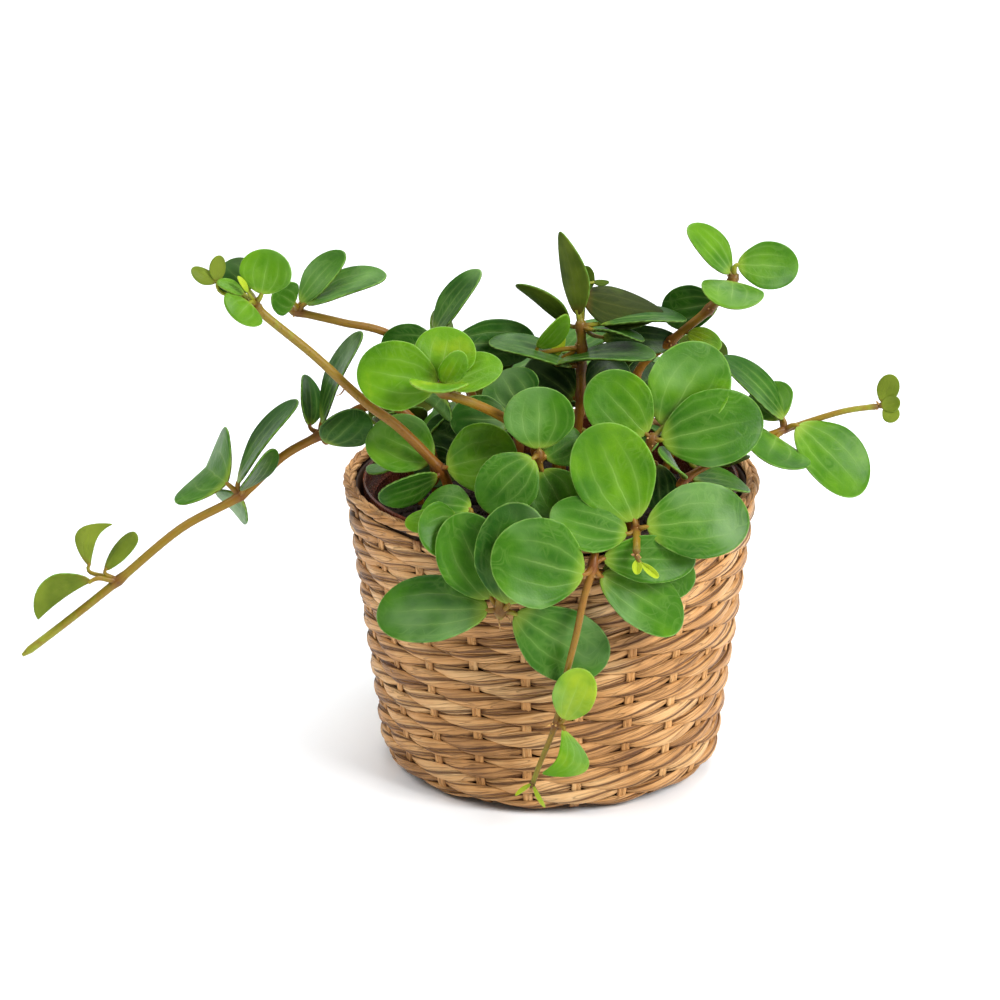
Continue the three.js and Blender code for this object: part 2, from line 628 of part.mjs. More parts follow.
function fusedShoot({ radii, points, leaves }) {
  const nodes = new Set(leaves.map(({ grows }) => grows));
  const bare = toSolid(stem(points, radii[0], radii[1], nodes));
  const fused = leaves.reduce((joined, one) => joined.add(toSolid(leaf(one))), bare);
  // Where two stalks cross, fusing can leave a loose scrap, which is dropped.
  const bodies = fused.decompose().sort((one, other) => other.volume() - one.volume());
  return toGeometry(bodies[0]);
}

const group = new THREE.Group();

function place(name, geometry, finish) {
  const mesh = new THREE.Mesh(geometry, finish);
  mesh.name = name;
  group.add(mesh);
}

const shoots = [...SEEN_SHOOTS.map(seenShoot), ...HIDDEN_SHOOTS.map(hiddenShoot)];
place('basket', basket(), finishes.basket);
place('basket_rim', basketRim(), finishes.rim);
place('nursery_pot', nurseryPot(), finishes.pot);
const roots = shoots.map(({ points, radii }) => ({ foot: points[0], radius: radii[0] }));
place('soil', soil(roots), finishes.soil);
for (const shoot of shoots) place(shoot.name, fusedShoot(shoot), finishes.foliage);

export default group;
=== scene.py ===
# %% [markdown]
# # A trailing peperomia in a woven basket
#
# The plant stands in a thin plastic nursery pot, and the pot in a round basket of flat, folded
# strands. The construction is already made: it is loaded as a fixed frame, one solid for each
# piece, and this notebook makes the pieces that are seen around it.
# Everything is in metres. A size written in millimetres is multiplied by MM.

# %% Load the frame
import math

import bpy
import numpy as np
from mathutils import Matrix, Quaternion, Vector, noise


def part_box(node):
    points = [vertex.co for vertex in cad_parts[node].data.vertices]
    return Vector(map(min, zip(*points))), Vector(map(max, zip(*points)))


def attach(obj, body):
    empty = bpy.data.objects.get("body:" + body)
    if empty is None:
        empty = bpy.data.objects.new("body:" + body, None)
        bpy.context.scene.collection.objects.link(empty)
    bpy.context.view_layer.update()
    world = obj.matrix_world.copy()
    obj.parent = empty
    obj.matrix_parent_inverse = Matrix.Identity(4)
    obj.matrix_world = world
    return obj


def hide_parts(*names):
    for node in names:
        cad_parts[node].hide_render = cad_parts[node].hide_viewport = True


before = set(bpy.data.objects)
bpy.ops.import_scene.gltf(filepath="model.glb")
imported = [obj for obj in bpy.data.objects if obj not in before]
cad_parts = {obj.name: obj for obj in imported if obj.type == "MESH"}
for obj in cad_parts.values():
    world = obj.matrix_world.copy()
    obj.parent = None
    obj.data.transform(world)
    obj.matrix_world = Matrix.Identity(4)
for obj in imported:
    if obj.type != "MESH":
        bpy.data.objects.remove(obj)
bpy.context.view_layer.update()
bpy.ops.object.select_all(action="DESELECT")
MM = 0.001
UP = Vector((0, 0, 1))
print("frame:", len(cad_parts), "solids")

# %% [markdown]
# ## The point of view
#
# The plant was measured from one view, 20 degrees above level, so its points are written as they
# are seen: how far right of the pot's axis, how far above the middle of the view, and how far in
# front of the axis. `seen` turns such a point into a real one. The camera could be set by eye, but
# one that stands exactly at EYE shows each leaf where it was measured.

# %% The eye and the camera
VIEW_ELEVATION = math.radians(20)
VIEW_TARGET = Vector((-17.1, 0, 91)) * MM
VIEW_DISTANCE = 1500 * MM
VIEW_WIDTH = 335 * MM  # how much of the scene the frame takes in at that distance
SENSOR_WIDTH = 36  # in mm, as the lens is
TOWARDS_EYE = Vector((0, -math.cos(VIEW_ELEVATION), math.sin(VIEW_ELEVATION)))
EYE = VIEW_TARGET + TOWARDS_EYE * VIEW_DISTANCE


def seen(spot):
    across, up, front = (value * MM for value in spot)
    rise = VIEW_TARGET.z + up * math.cos(VIEW_ELEVATION)
    sight = Vector((across, up * math.sin(VIEW_ELEVATION), rise)) - EYE
    return EYE + sight * ((-front - EYE.y) / sight.y)


bpy.ops.object.camera_add(location=EYE, rotation=(math.pi / 2 - VIEW_ELEVATION, 0, 0))
camera = bpy.context.active_object
camera.data.sensor_width = SENSOR_WIDTH
camera.data.lens = SENSOR_WIDTH * VIEW_DISTANCE / VIEW_WIDTH
bpy.context.scene.camera = camera
print("camera: lens", round(camera.data.lens, 1), "mm")

# %% [markdown]
# ## Working by hand in code
#
# Each piece below starts as a primitive, a profile or a curve, and is shaped in edit mode and with
# modifiers where it needs them. What repeats, such as a strand or a leaf, is modelled once. Placing
# hundreds of copies as objects would be slow, so `read_master` takes the modelled mesh as arrays and
# `lay_copies` joins bent copies of it in one mesh, with a map that follows the grain.

# %% Helpers for modelling
MERGE_GAP = 0.01 * MM


def only(obj):
    """Makes one object the selected and active one."""
    bpy.ops.object.select_all(action="DESELECT")
    obj.select_set(True)
    bpy.context.view_layer.objects.active = obj


def edit(obj):
    only(obj)
    bpy.ops.object.mode_set(mode="EDIT")
    bpy.ops.mesh.select_all(action="SELECT")


def settle(obj):
    """Leaves edit mode, applies what is on the object and smooths it."""
    if bpy.context.mode != "OBJECT":
        bpy.ops.object.mode_set(mode="OBJECT")
    only(obj)
    for modifier in list(obj.modifiers):
        bpy.ops.object.modifier_apply(modifier=modifier.name)
    bpy.ops.object.transform_apply(location=True, rotation=True, scale=True)
    bpy.ops.object.shade_smooth()
    return obj


def read_master(obj):
    """Reads a modelled piece into arrays and removes its object."""
    mesh = obj.data
    master = {
        "points": np.zeros((len(mesh.vertices), 3)),
        "loops": np.zeros(len(mesh.loops), int),
        "starts": np.zeros(len(mesh.polygons), int),
    }
    mesh.vertices.foreach_get("co", master["points"].reshape(-1))
    mesh.loops.foreach_get("vertex_index", master["loops"])
    mesh.polygons.foreach_get("loop_start", master["starts"])
    bpy.data.objects.remove(obj)
    return master


def lay_copies(name, master, copies, uv, marks):
    """Joins copies of a master: copies holds each one's points, uv the map at the master's
    corners for each copy, and marks the values of each attribute for each copy's points."""
    size, corners = len(master["points"]), len(master["loops"])
    count = len(copies)
    steps = np.arange(count)[:, None]
    mesh = bpy.data.meshes.new(name)
    mesh.vertices.add(size * count)
    mesh.vertices.foreach_set("co", np.concatenate(copies).ravel())
    mesh.loops.add(corners * count)
    mesh.loops.foreach_set("vertex_index", (master["loops"] + steps * size).ravel())
    mesh.polygons.add(len(master["starts"]) * count)
    mesh.polygons.foreach_set("loop_start", (master["starts"] + steps * corners).ravel())
    mesh.update(calc_edges=True)
    layer = mesh.uv_layers.new(name="grain")
    layer.data.foreach_set("uv", np.concatenate(uv).ravel())
    for mark, values in marks.items():
        attribute = mesh.attributes.new(mark, "FLOAT", "POINT")
        attribute.data.foreach_set("value", np.concatenate(values))
    obj = bpy.data.objects.new(name, mesh)
    bpy.context.collection.objects.link(obj)
    only(obj)
    bpy.ops.object.shade_smooth()
    return obj


def tubes(name, runs, sides):
    """Round tubes as a mesh. A run is a list of (point, radius). Without a bevel resolution a curve's
    bevel has four sides, and each step of it adds two."""
    curve = bpy.data.curves.new(name, "CURVE")
    curve.dimensions = "3D"
    curve.bevel_depth = MM
    curve.bevel_resolution = (sides - 4) // 2
    curve.use_fill_caps = True
    for run in runs:
        spline = curve.splines.new("POLY")
        spline.points.add(len(run) - 1)
        for spot, (point, radius) in zip(spline.points, run):
            spot.co = (*point, 1)
            spot.radius = radius / MM
    obj = bpy.data.objects.new(name, curve)
    bpy.context.collection.objects.link(obj)
    only(obj)
    bpy.ops.object.convert(target="MESH")
    bpy.ops.object.shade_smooth()
    return bpy.context.active_object


def turned(name, profile, steps):
    """Spins a profile of (radius, height), which starts and ends on the axis, into a closed body."""
    mesh = bpy.data.meshes.new(name)
    spots = [(radius, 0, height) for radius, height in profile]
    mesh.from_pydata(spots, [(i, i + 1) for i in range(len(spots) - 1)], [])
    obj = bpy.data.objects.new(name, mesh)
    bpy.context.collection.objects.link(obj)
    edit(obj)
    bpy.ops.mesh.spin(steps=steps, angle=2 * math.pi, center=(0, 0, 0), axis=(0, 0, 1))
    bpy.ops.mesh.select_all(action="SELECT")
    bpy.ops.mesh.remove_doubles(threshold=MERGE_GAP)
    bpy.ops.mesh.normals_make_consistent(inside=False)
    return settle(obj)


def finished(obj, material, slot, *nodes):
    """Gives a piece its finish and its place in the frame."""
    obj.data.materials.clear()
    obj.data.materials.append(material)
    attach(obj, "root")
    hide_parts(*nodes)
    print(obj.name, len(obj.data.polygons), "faces")


# %% [markdown]
# ## Finishes as nodes
#
# A finish is a net of nodes in front of one shader. It could be drawn in the node editor, but in
# code each step is one short call: `Finish` adds a node, feeds it and returns what comes out of it,
# so that a finish below reads from its noise to its colour.

# %% Helpers for materials


def paint(red, green, blue):
    """A colour given as on a screen, 0 to 255, in the linear numbers that shaders use."""
    shares = (value / 255 for value in (red, green, blue))
    return (*(s / 12.92 if s <= 0.04045 else ((s + 0.055) / 1.055) ** 2.4 for s in shares), 1)


class Finish:
    """A material whose nodes are added one call at a time."""

    def __init__(self, name, **sockets):
        self.material = bpy.data.materials.new(name)
        self.material.use_nodes = True
        self.tree = self.material.node_tree
        self.shader = self.tree.nodes["Principled BSDF"]
        for socket, value in sockets.items():
            self.shader.inputs[socket.replace("_", " ")].default_value = value

    def add(self, kind, inputs=None, **settings):
        node = self.tree.nodes.new("ShaderNode" + kind)
        for setting, value in settings.items():
            setattr(node, setting, value)
        for socket, value in (inputs or {}).items():
            self.feed(node.inputs[socket], value)
        return node

    def feed(self, socket, value):
        if isinstance(value, bpy.types.NodeSocket):
            self.tree.links.new(value, socket)
        else:
            socket.default_value = value

    def set(self, socket, value):
        self.feed(self.shader.inputs[socket], value)

    def math(self, operation, *values):
        return self.add("Math", dict(enumerate(values)), operation=operation).outputs[0]

    def times(self, one, other):
        return self.math("MULTIPLY", one, other)

    def scaled(self, value, gain, start):
        """value times gain, plus start."""
        return self.math("MULTIPLY_ADD", value, gain, start)

    def larger(self, one, other):
        return self.math("MAXIMUM", one, other)

    def rest(self, value):
        """What is missing to 1."""
        return self.math("SUBTRACT", 1.0, value)

    def mix(self, share, one, other, blend="MIX"):
        inputs = {0: share, 6: one, 7: other}
        return self.add("Mix", inputs, data_type="RGBA", blend_type=blend).outputs[2]

    def step(self, value, low, high):
        """0 below low, 1 above high and smooth between."""
        inputs = {"Value": value, "From Min": low, "From Max": high}
        return self.add("MapRange", inputs, interpolation_type="SMOOTHSTEP").outputs[0]

    def ramp(self, value, stops):
        node = self.add("ValToRGB", {0: value})
        keys = node.color_ramp.elements
        for _ in range(len(stops) - 2):
            keys.new(0.5)
        for key, (position, colour) in zip(keys, stops):
            key.position = position
            key.color = colour
        return node.outputs[0]

    def mark(self, name):
        return self.add("Attribute", attribute_name=name).outputs["Fac"]

    def place(self):
        return self.add("TexCoord").outputs["Object"]

    def stretched(self, scale):
        """The piece's own map, stretched."""
        where = self.add("UVMap", uv_map="grain").outputs[0]
        return self.add("Mapping", {"Vector": where, "Scale": scale}).outputs[0]

    def noise(self, where, scale, detail=3.0, distortion=0.0):
        inputs = {"Vector": where, "Scale": scale, "Detail": detail, "Distortion": distortion}
        return self.add("TexNoise", inputs).outputs["Fac"]

    def bump(self, height, distance, strength=1.0):
        inputs = {"Height": height, "Distance": distance, "Strength": strength}
        self.set("Normal", self.add("Bump", inputs).outputs[0])


# %% [markdown]
# ## The basket's sizes
#
# A round basket of this sort is woven bottom up: upright stakes, and rows of a fat, twisted strand
# that passes in front of one stake and behind the next. The wall leans out a little and turns in at
# the foot with a round shoulder. Its radius at each height is written once, and every strand asks
# for it, which keeps the weave on the solid it dresses.

# %% The wall's shape
BORDER_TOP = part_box("basket_rim")[1].z
BASKET_HEIGHT = 101 * MM  # where the wall's lean would reach BASKET_TOP_RADIUS
BASKET_TOP_RADIUS = 70 * MM
SHOULDER_RADIUS = 58 * MM
SHOULDER_HEIGHT = 9 * MM
FOOT_RADIUS = 47 * MM
STAKES = 22
WEAVE_ROWS = 22
WALL_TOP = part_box("basket")[1].z
ROW_PITCH = WALL_TOP / WEAVE_ROWS
RIM_RING = 67.4 * MM  # radius of the border's middle line
RIM_SECTION = 2.6 * MM


def basket_radius(height):
    if height < SHOULDER_HEIGHT:
        drop = (SHOULDER_HEIGHT - height) / SHOULDER_HEIGHT
        return FOOT_RADIUS + (SHOULDER_RADIUS - FOOT_RADIUS) * math.sqrt(1 - drop * drop)
    climb = (height - SHOULDER_HEIGHT) / (BASKET_HEIGHT - SHOULDER_HEIGHT)
    return SHOULDER_RADIUS + (BASKET_TOP_RADIUS - SHOULDER_RADIUS) * climb


def wall_lean(height):
    """The wall's own direction at a height, as (outward, upward)."""
    rise = 1 * MM
    out = basket_radius(height + rise / 2) - basket_radius(height - rise / 2)
    return np.array([out, rise]) / math.hypot(out, rise)


print("wall:", WEAVE_ROWS, "rows,", round(ROW_PITCH / MM, 2), "mm apart")
print("border: up to", round(BORDER_TOP / MM, 1), "mm")

# %% [markdown]
# ## The straw
#
# The strands are dried water hyacinth: flat leaves, folded lengthwise and twisted, tan with
# browner and more golden lengths, and full of fine fibres. The grain runs along each strand, so
# the noise is stretched along the strand's own map. Each strand has a tone of its own, and a mark
# that is high on its sides, at its ends and, in the floats, where it lies deep inside the wall.
# There the straw is darkened with painted shade, and the thin dark lines along its folds are
# painted shade too.

# %% Straw materials
FIBRE_STRETCH = (3, 22, 1)  # along the strand, across it
FOLD_STRETCH = (1.6, 5, 1)
FOLD_LINE = 0.03  # how wide the painted shade along a fold is, as a share of the noise's range
LINE_SHADE = 0.34
BORDER_SHADE = 0.85
FIBRE_SHARE = 0.4  # how far each of these moves the straw from dark to light
FOLD_SHARE = 0.28
BLOTCH_SHARE = 0.5
TONE_SHARE = 0.2
STRAW_RELIEF = 0.7 * MM


def straw(name, dark, middle, light):
    finish = Finish(name, Roughness=0.5, Specular_IOR_Level=0.25)
    fibres = finish.noise(finish.stretched(FIBRE_STRETCH), 1.0, 4.0, 0.3)
    folds = finish.noise(finish.stretched(FOLD_STRETCH), 1.0, 1.5, 0.6)
    crease = finish.math("ABSOLUTE", finish.math("SUBTRACT", folds, 0.5))
    crease = finish.step(crease, 0.0, FOLD_LINE)
    blotches = finish.noise(finish.place(), 60.0, 3.0)
    shade = finish.scaled(fibres, FIBRE_SHARE, finish.scaled(folds, FOLD_SHARE, -FOLD_SHARE / 2))
    shade = finish.scaled(blotches, BLOTCH_SHARE, shade)
    shade = finish.scaled(finish.mark("tone"), TONE_SHARE, shade)
    colour = finish.ramp(shade, [(0.1, dark), (0.42, middle), (0.78, light)])
    # Painted shade: the straw darkens in thin lines along the folds, and where the border mark says a
    # strand's side, end or recess is.
    border = finish.step(finish.mark("border"), 0.4, 1.0)
    shadow = finish.times(finish.rest(crease), LINE_SHADE)
    shadow = finish.larger(shadow, finish.times(border, BORDER_SHADE))
    finish.set("Base Color", finish.mix(shadow, colour, dark))
    height = finish.scaled(folds, 1.4, finish.times(fibres, 0.4))
    finish.bump(finish.scaled(crease, 0.4, height), STRAW_RELIEF)
    return finish.material


strand_straw = straw("twisted straw", paint(76, 42, 20), paint(191, 139, 83), paint(231, 191, 137))
stake_straw = straw("stake straw", paint(118, 72, 36), paint(202, 146, 86), paint(240, 200, 142))
# Painted shade: the layer behind the floats and the border's core are only seen in shadow, so their
# straw is painted dark.
shade_dark_straw = straw("inner straw", paint(30, 18, 10), paint(58, 36, 20), paint(84, 54, 30))

# %% [markdown]
# ## The strand
#
# One strand of the weave is a round tube that will be bent, pinched and twisted. It could be a
# curve with a bevel, but a circle pulled out step by step gives rings at known places, and with
# eight sides and nine steps hundreds of copies stay light.

# %% Model one strand
STRAND_SIDES = 8
STRAND_STEPS = 9
SIDE_SHARPNESS = 4  # the higher, the narrower the painted shade along a strand's sides
END_SHARPNESS = 8
MAP_REACH = 50  # copies take their grain from places up to this far apart


def strand_master(steps):
    bpy.ops.mesh.primitive_circle_add(vertices=STRAND_SIDES, radius=1, location=(-1, 0, 0),
                                      rotation=(0, math.pi / 2, 0), fill_type="NGON")
    circle = bpy.context.active_object
    edit(circle)
    for _ in range(steps):
        bpy.ops.mesh.extrude_region_move(TRANSFORM_OT_translate={"value": (2 / steps, 0, 0)})
    bpy.ops.mesh.select_all(action="SELECT")
    bpy.ops.mesh.normals_make_consistent(inside=False)
    return read_master(settle(circle))


def strand_map(master):
    """How far along, and how far around, each corner of the strand is."""
    corners = master["points"][master["loops"]]
    around = np.arctan2(corners[:, 2], corners[:, 1]) / (2 * math.pi)
    for face in np.split(np.arange(len(corners)), master["starts"][1:]):
        if np.ptp(around[face]) > 0.5:
            around[face] = np.where(around[face] < 0, around[face] + 1, around[face])
    return np.column_stack([(corners[:, 0] + 1) / 2, around])


def edge_shade_mask(master, crosswise):
    """Painted shade on a strand: 1 along its two sides and at its ends, 0 on its face."""
    along = master["points"][:, 0]
    lines = np.maximum(np.abs(crosswise) ** SIDE_SHARPNESS, np.abs(along) ** END_SHARPNESS)
    return np.clip(lines, 0, 1)


strand = strand_master(STRAND_STEPS)
strand_uv = strand_map(strand)
strand_edge_shade = edge_shade_mask(strand, strand["points"][:, 2])
print("strand:", len(strand["starts"]), "faces")

# %% [markdown]
# ## The weave
#
# What is seen of a row is a line of floats: lens-shaped bundles of three flat fibres that twist
# round each other, fattest over the stake and thin where they dive behind the next. Neighbouring
# rows are offset by one stake, so a fat middle fills the gap between thin ends. A normal map could
# fake this, but the outline of the real basket is bumpy, so every fibre is a mesh.

# %% Lay the floats
FIBRES = 3
FLOAT_MIDDLE = 3.15 * MM  # half the height of a float over its stake
FLOAT_END = 1.0 * MM
FLOAT_DEEP = 1.4 * MM  # half its thickness there
FLOAT_DEEP_END = 0.7 * MM
FLOAT_FULLNESS = 0.65  # below 1, a float stays fat nearly to its ends
FLOAT_SEAT = 1.4 * MM  # how far its middle line is inside the wall's outline
FLOAT_DIVE = 1.5 * MM  # how much further inside its ends are
FLOAT_TWIST = 1.5
FIBRE_PLACE = 0.54  # how far a fibre is from the float's middle line, as a share of its size
FIBRE_THICK = 0.46
FIBRE_WIDE = 0.7
ROW_SCATTER = 0.22 * MM
FIBRE_SCATTER = 0.12
PLUMPNESS = (0.9, 1.08)
ROW_TONE = 0.25  # a tone below 0 is darker and above 0 lighter
FLOAT_TONE = 0.45
FIBRE_TONE = 0.35
CREASE_START = 1.3 * MM  # from this far inside the outline a float darkens with painted shade
CREASE_REACH = 1.5 * MM
LOWEST = 0.15 * MM  # nothing of the basket is lower, so that it stands on the floor
chance = np.random.default_rng(11)


def on_wall(height, up, out, angle):
    """Points on the wall: up along it and out from it, at an angle round the basket."""
    lean = wall_lean(height)
    radius = basket_radius(height) + up * lean[0] + out * lean[1]
    level = np.maximum(height + up * lean[1] - out * lean[0], LOWEST)
    return np.column_stack([radius * np.cos(angle), radius * np.sin(angle), level])


def float_fibre(height, stake, turn, plump):
    along, section_up, section_out = strand["points"].T
    crest = np.cos(along * math.pi / 2)
    fullness = crest**FLOAT_FULLNESS
    half = (FLOAT_END + (FLOAT_MIDDLE - FLOAT_END) * fullness) * plump
    deep = FLOAT_DEEP_END + (FLOAT_DEEP - FLOAT_DEEP_END) * fullness
    turns = turn - FLOAT_TWIST * along
    away = FIBRE_PLACE + FIBRE_THICK * section_up
    aside = FIBRE_WIDE * section_out
    up = half * (away * np.cos(turns) - aside * np.sin(turns))
    out = deep * (away * np.sin(turns) + aside * np.cos(turns))
    out = out - FLOAT_SEAT - FLOAT_DIVE * (1 - crest)
    angle = (stake + along) * 2 * math.pi / STAKES
    # Painted shade: the deeper a point lies inside the wall's outline, the darker the straw is drawn
    # there.
    crease = np.clip((-out - CREASE_START) / CREASE_REACH, 0, 1)
    return on_wall(height, up, out, angle), np.maximum(crease, strand_edge_shade)


def weave():
    copies, shade_masks, maps, tones = [], [], [], []
    for row in range(WEAVE_ROWS):
        row_tone = chance.uniform(-ROW_TONE, ROW_TONE)
        for stake in range(row % 2, STAKES, 2):
            height = (row + 0.5) * ROW_PITCH + chance.uniform(-ROW_SCATTER, ROW_SCATTER)
            start = chance.uniform(0, 2 * math.pi)
            float_tone = row_tone + chance.uniform(-FLOAT_TONE, FLOAT_TONE)
            for fibre in range(FIBRES):
                place = fibre + chance.uniform(-FIBRE_SCATTER, FIBRE_SCATTER)
                turn = start + place / FIBRES * 2 * math.pi
                points, border = float_fibre(height, stake, turn, chance.uniform(*PLUMPNESS))
                copies.append(points)
                shade_masks.append(border)
                maps.append(strand_uv + chance.uniform(0, MAP_REACH, 2))
                tone = float_tone + chance.uniform(-FIBRE_TONE, FIBRE_TONE)
                tones.append(np.full(len(strand["points"]), tone))
    marks = {"tone": tones, "border": shade_masks}
    return lay_copies("basket_weave", strand, copies, maps, marks)


finished(weave(), strand_straw, "basket", "basket")

# %% [markdown]
# ## The stakes
#
# Each stake is a flat band, folded once along its length, that shows as a small tab wherever the row
# passes behind it. The same strand is used with more steps, pressed flat, once for each half.

# %% Stand the stakes
STAKE_HALF = 0.95 * MM  # half the width of one of the band's two folds
STAKE_DEEP = 0.65 * MM
STAKE_SPREAD = 0.72 * MM
STAKE_SEAT = 2.0 * MM
STAKE_STEPS = 60
STAKE_SQUARE = 0.8  # below 1, the rounded section becomes squarer
STAKE_FOOT = 1.2 * MM
STAKE_GRAIN = 8  # how many lengths of a strand's grain run along a stake
STAKE_TONE = 0.4


def stake_band(master, stake, side):
    along, section_side, section_out = master["points"].T
    square = np.sign(section_out) * np.abs(section_out)**STAKE_SQUARE
    wide = np.sign(section_side) * np.abs(section_side)**STAKE_SQUARE
    height = STAKE_FOOT + (WALL_TOP - STAKE_FOOT) * (along + 1) / 2
    wall = np.array([basket_radius(level) for level in height])
    radius = wall - STAKE_SEAT + STAKE_DEEP * square
    angle = stake * 2 * math.pi / STAKES + (side * STAKE_SPREAD + STAKE_HALF * wide) / radius
    return np.column_stack([radius * np.cos(angle), radius * np.sin(angle), height])


def stakes():
    master = strand_master(STAKE_STEPS)
    grain = strand_map(master) * (STAKE_GRAIN, 1)
    copies, maps, tones = [], [], []
    for stake in range(STAKES):
        for side in (-1, 1):
            copies.append(stake_band(master, stake, side))
            maps.append(grain + chance.uniform(0, MAP_REACH, 2))
            tone = chance.uniform(-STAKE_TONE, STAKE_TONE)
            tones.append(np.full(len(master["points"]), tone))
    # Painted shade along the sides of each half of a stake, which darkens the groove between them,
    # and at their ends.
    shade_masks = [edge_shade_mask(master, master["points"][:, 1])] * len(copies)
    return lay_copies("basket_stakes", master, copies, maps, {"tone": tones, "border": shade_masks})


finished(stakes(), stake_straw, "basket", "basket")

# %% [markdown]
# ## The inside of the wall and the foot
#
# Behind the floats the strands lie close together, and from outside that layer is seen only in
# the gaps, where it lies in shade, so its straw is painted dark with that shade. It could be woven
# too, but a spun wall with its floor is enough where so little is seen. It reaches up into the
# border, so that no light falls through. Underneath, the foot is a flat coil.

# %% Spin the inner wall
INNER_OUTSIDE = 3.1 * MM
INNER_INSIDE = 5.0 * MM
BASKET_FLOOR = 4 * MM
LINER_RINGS = 24
LINER_SIDES = 96
LINER_FOOT = 3 * MM
LINER_TOP = WALL_TOP + 1.9 * MM
LINER_CENTRE = 44 * MM
LINER_BASE = 2.6 * MM


def liner_profile():
    rise = (LINER_TOP - LINER_FOOT) / LINER_RINGS
    heights = [LINER_FOOT + rise * ring for ring in range(LINER_RINGS + 1)]
    outside = [(basket_radius(height) - INNER_OUTSIDE, height) for height in heights]
    inside = [(basket_radius(height) - INNER_INSIDE, height) for height in reversed(heights[1:])]
    corner = basket_radius(BASKET_FLOOR) - INNER_INSIDE
    foot = [(0, LINER_BASE), (LINER_CENTRE, LINER_BASE)]
    return [*foot, *outside, *inside, (corner, BASKET_FLOOR), (0, BASKET_FLOOR)]


finished(turned("basket_liner", liner_profile(), LINER_SIDES), shade_dark_straw, "basket", "basket")

# %% Coil the foot
COIL_RINGS = 12
COIL_RADIUS = 1.95 * MM
COIL_START = 1.3 * COIL_RADIUS  # radius of the innermost ring
COIL_SIDES = 16
MORE_SIDES = 4  # and this many more in each ring than in the one inside it


def foot_coil():
    rings = []
    for ring in range(COIL_RINGS):
        bpy.ops.mesh.primitive_torus_add(
            major_radius=COIL_START + 2 * COIL_RADIUS * ring, minor_radius=COIL_RADIUS,
            major_segments=COIL_SIDES + MORE_SIDES * ring, minor_segments=STRAND_SIDES,
            location=(0, 0, COIL_RADIUS + LOWEST))
        rings.append(bpy.context.active_object)
    for ring in rings:
        ring.select_set(True)
    bpy.ops.object.join()
    foot = bpy.context.active_object
    foot.name = "basket_foot"
    foot.data.uv_layers[0].name = "grain"
    return settle(foot)


finished(foot_coil(), strand_straw, "basket", "basket")

# %% [markdown]
# ## The border
#
# The wall is closed by a plait that lies over its top edge. From outside it shows as short fat
# strands that lean one way, and from above as a second row that leans the other way. The same
# strand is used, bent over the ring while it moves along, once for each row, round a core painted
# dark as the shade between the strands.

# %% Lay the border
BORDER_STRANDS = 54
BORDER_ROWS = ((-58, 78, 1.15), (52, 74, -1.15))  # middle, reach (degrees over the edge) and lean
BORDER_PLUMP = 1.3
BORDER_RISE = WALL_TOP + RIM_SECTION + 0.25 * MM
BORDER_DEPTH = 1.0 * MM  # half the thickness of a strand
BORDER_END = 0.35  # a strand's width at its ends, as a share of its middle
BORDER_END_DEPTH = 0.4
BORDER_FULLNESS = 0.6
BORDER_LIFT = 0.3 * MM
BORDER_SCATTER = 0.12
BORDER_TONE = (-0.7, 0.5)
CORE_RADIUS = 1.4 * MM
CORE_SIDES = 96
CORE_SECTION_SIDES = 10


def border_strand(number, middle, reach, lean, lift):
    along, section_side, section_out = strand["points"].T
    crest = np.cos(along * math.pi / 2) ** BORDER_FULLNESS
    pitch = 2 * math.pi / BORDER_STRANDS
    half = pitch * RIM_RING / 2 * BORDER_PLUMP * (BORDER_END + (1 - BORDER_END) * crest)
    over = np.radians(middle + along * reach)
    thick = BORDER_DEPTH * (BORDER_END_DEPTH + (1 - BORDER_END_DEPTH) * crest)
    distance = RIM_SECTION - BORDER_DEPTH - lift - (1 - crest) * BORDER_DEPTH + thick * section_out
    radius = RIM_RING - distance * np.sin(over)
    level = BORDER_RISE + distance * np.cos(over)
    angle = pitch * (number + lean * along) + half * section_side / RIM_RING
    return np.column_stack([radius * np.cos(angle), radius * np.sin(angle), level])


def border():
    copies, maps, tones = [], [], []
    for middle, reach, lean in BORDER_ROWS:
        for number in range(BORDER_STRANDS):
            place = number + chance.uniform(-BORDER_SCATTER, BORDER_SCATTER)
            lift = chance.uniform(0, BORDER_LIFT)
            copies.append(border_strand(place, middle, reach, lean, lift))
            maps.append(strand_uv + chance.uniform(0, MAP_REACH, 2))
            tones.append(np.full(len(strand["points"]), chance.uniform(*BORDER_TONE)))
    # Painted shade along each border strand's two sides and at its ends.
    shade_masks = [edge_shade_mask(strand, strand["points"][:, 1])] * len(copies)
    return lay_copies("basket_border", strand, copies, maps, {"tone": tones, "border": shade_masks})


def border_core():
    bpy.ops.mesh.primitive_torus_add(
        major_radius=RIM_RING, minor_radius=CORE_RADIUS, major_segments=CORE_SIDES,
        minor_segments=CORE_SECTION_SIDES, location=(0, 0, BORDER_RISE))
    core = bpy.context.active_object
    core.name = "border_core"
    core.data.uv_layers[0].name = "grain"
    return settle(core)


finished(border(), strand_straw, "rim", "basket_rim")
finished(border_core(), shade_dark_straw, "rim", "basket_rim")

# %% [markdown]
# ## The nursery pot
#
# A thin, glossy, red-brown plastic pot, with a stiff band at its mouth. It could be a cylinder that
# is scaled and inset, but spinning its profile gives the wall, the band and the rolled lip at once.
# The drain holes are cut by a boolean.

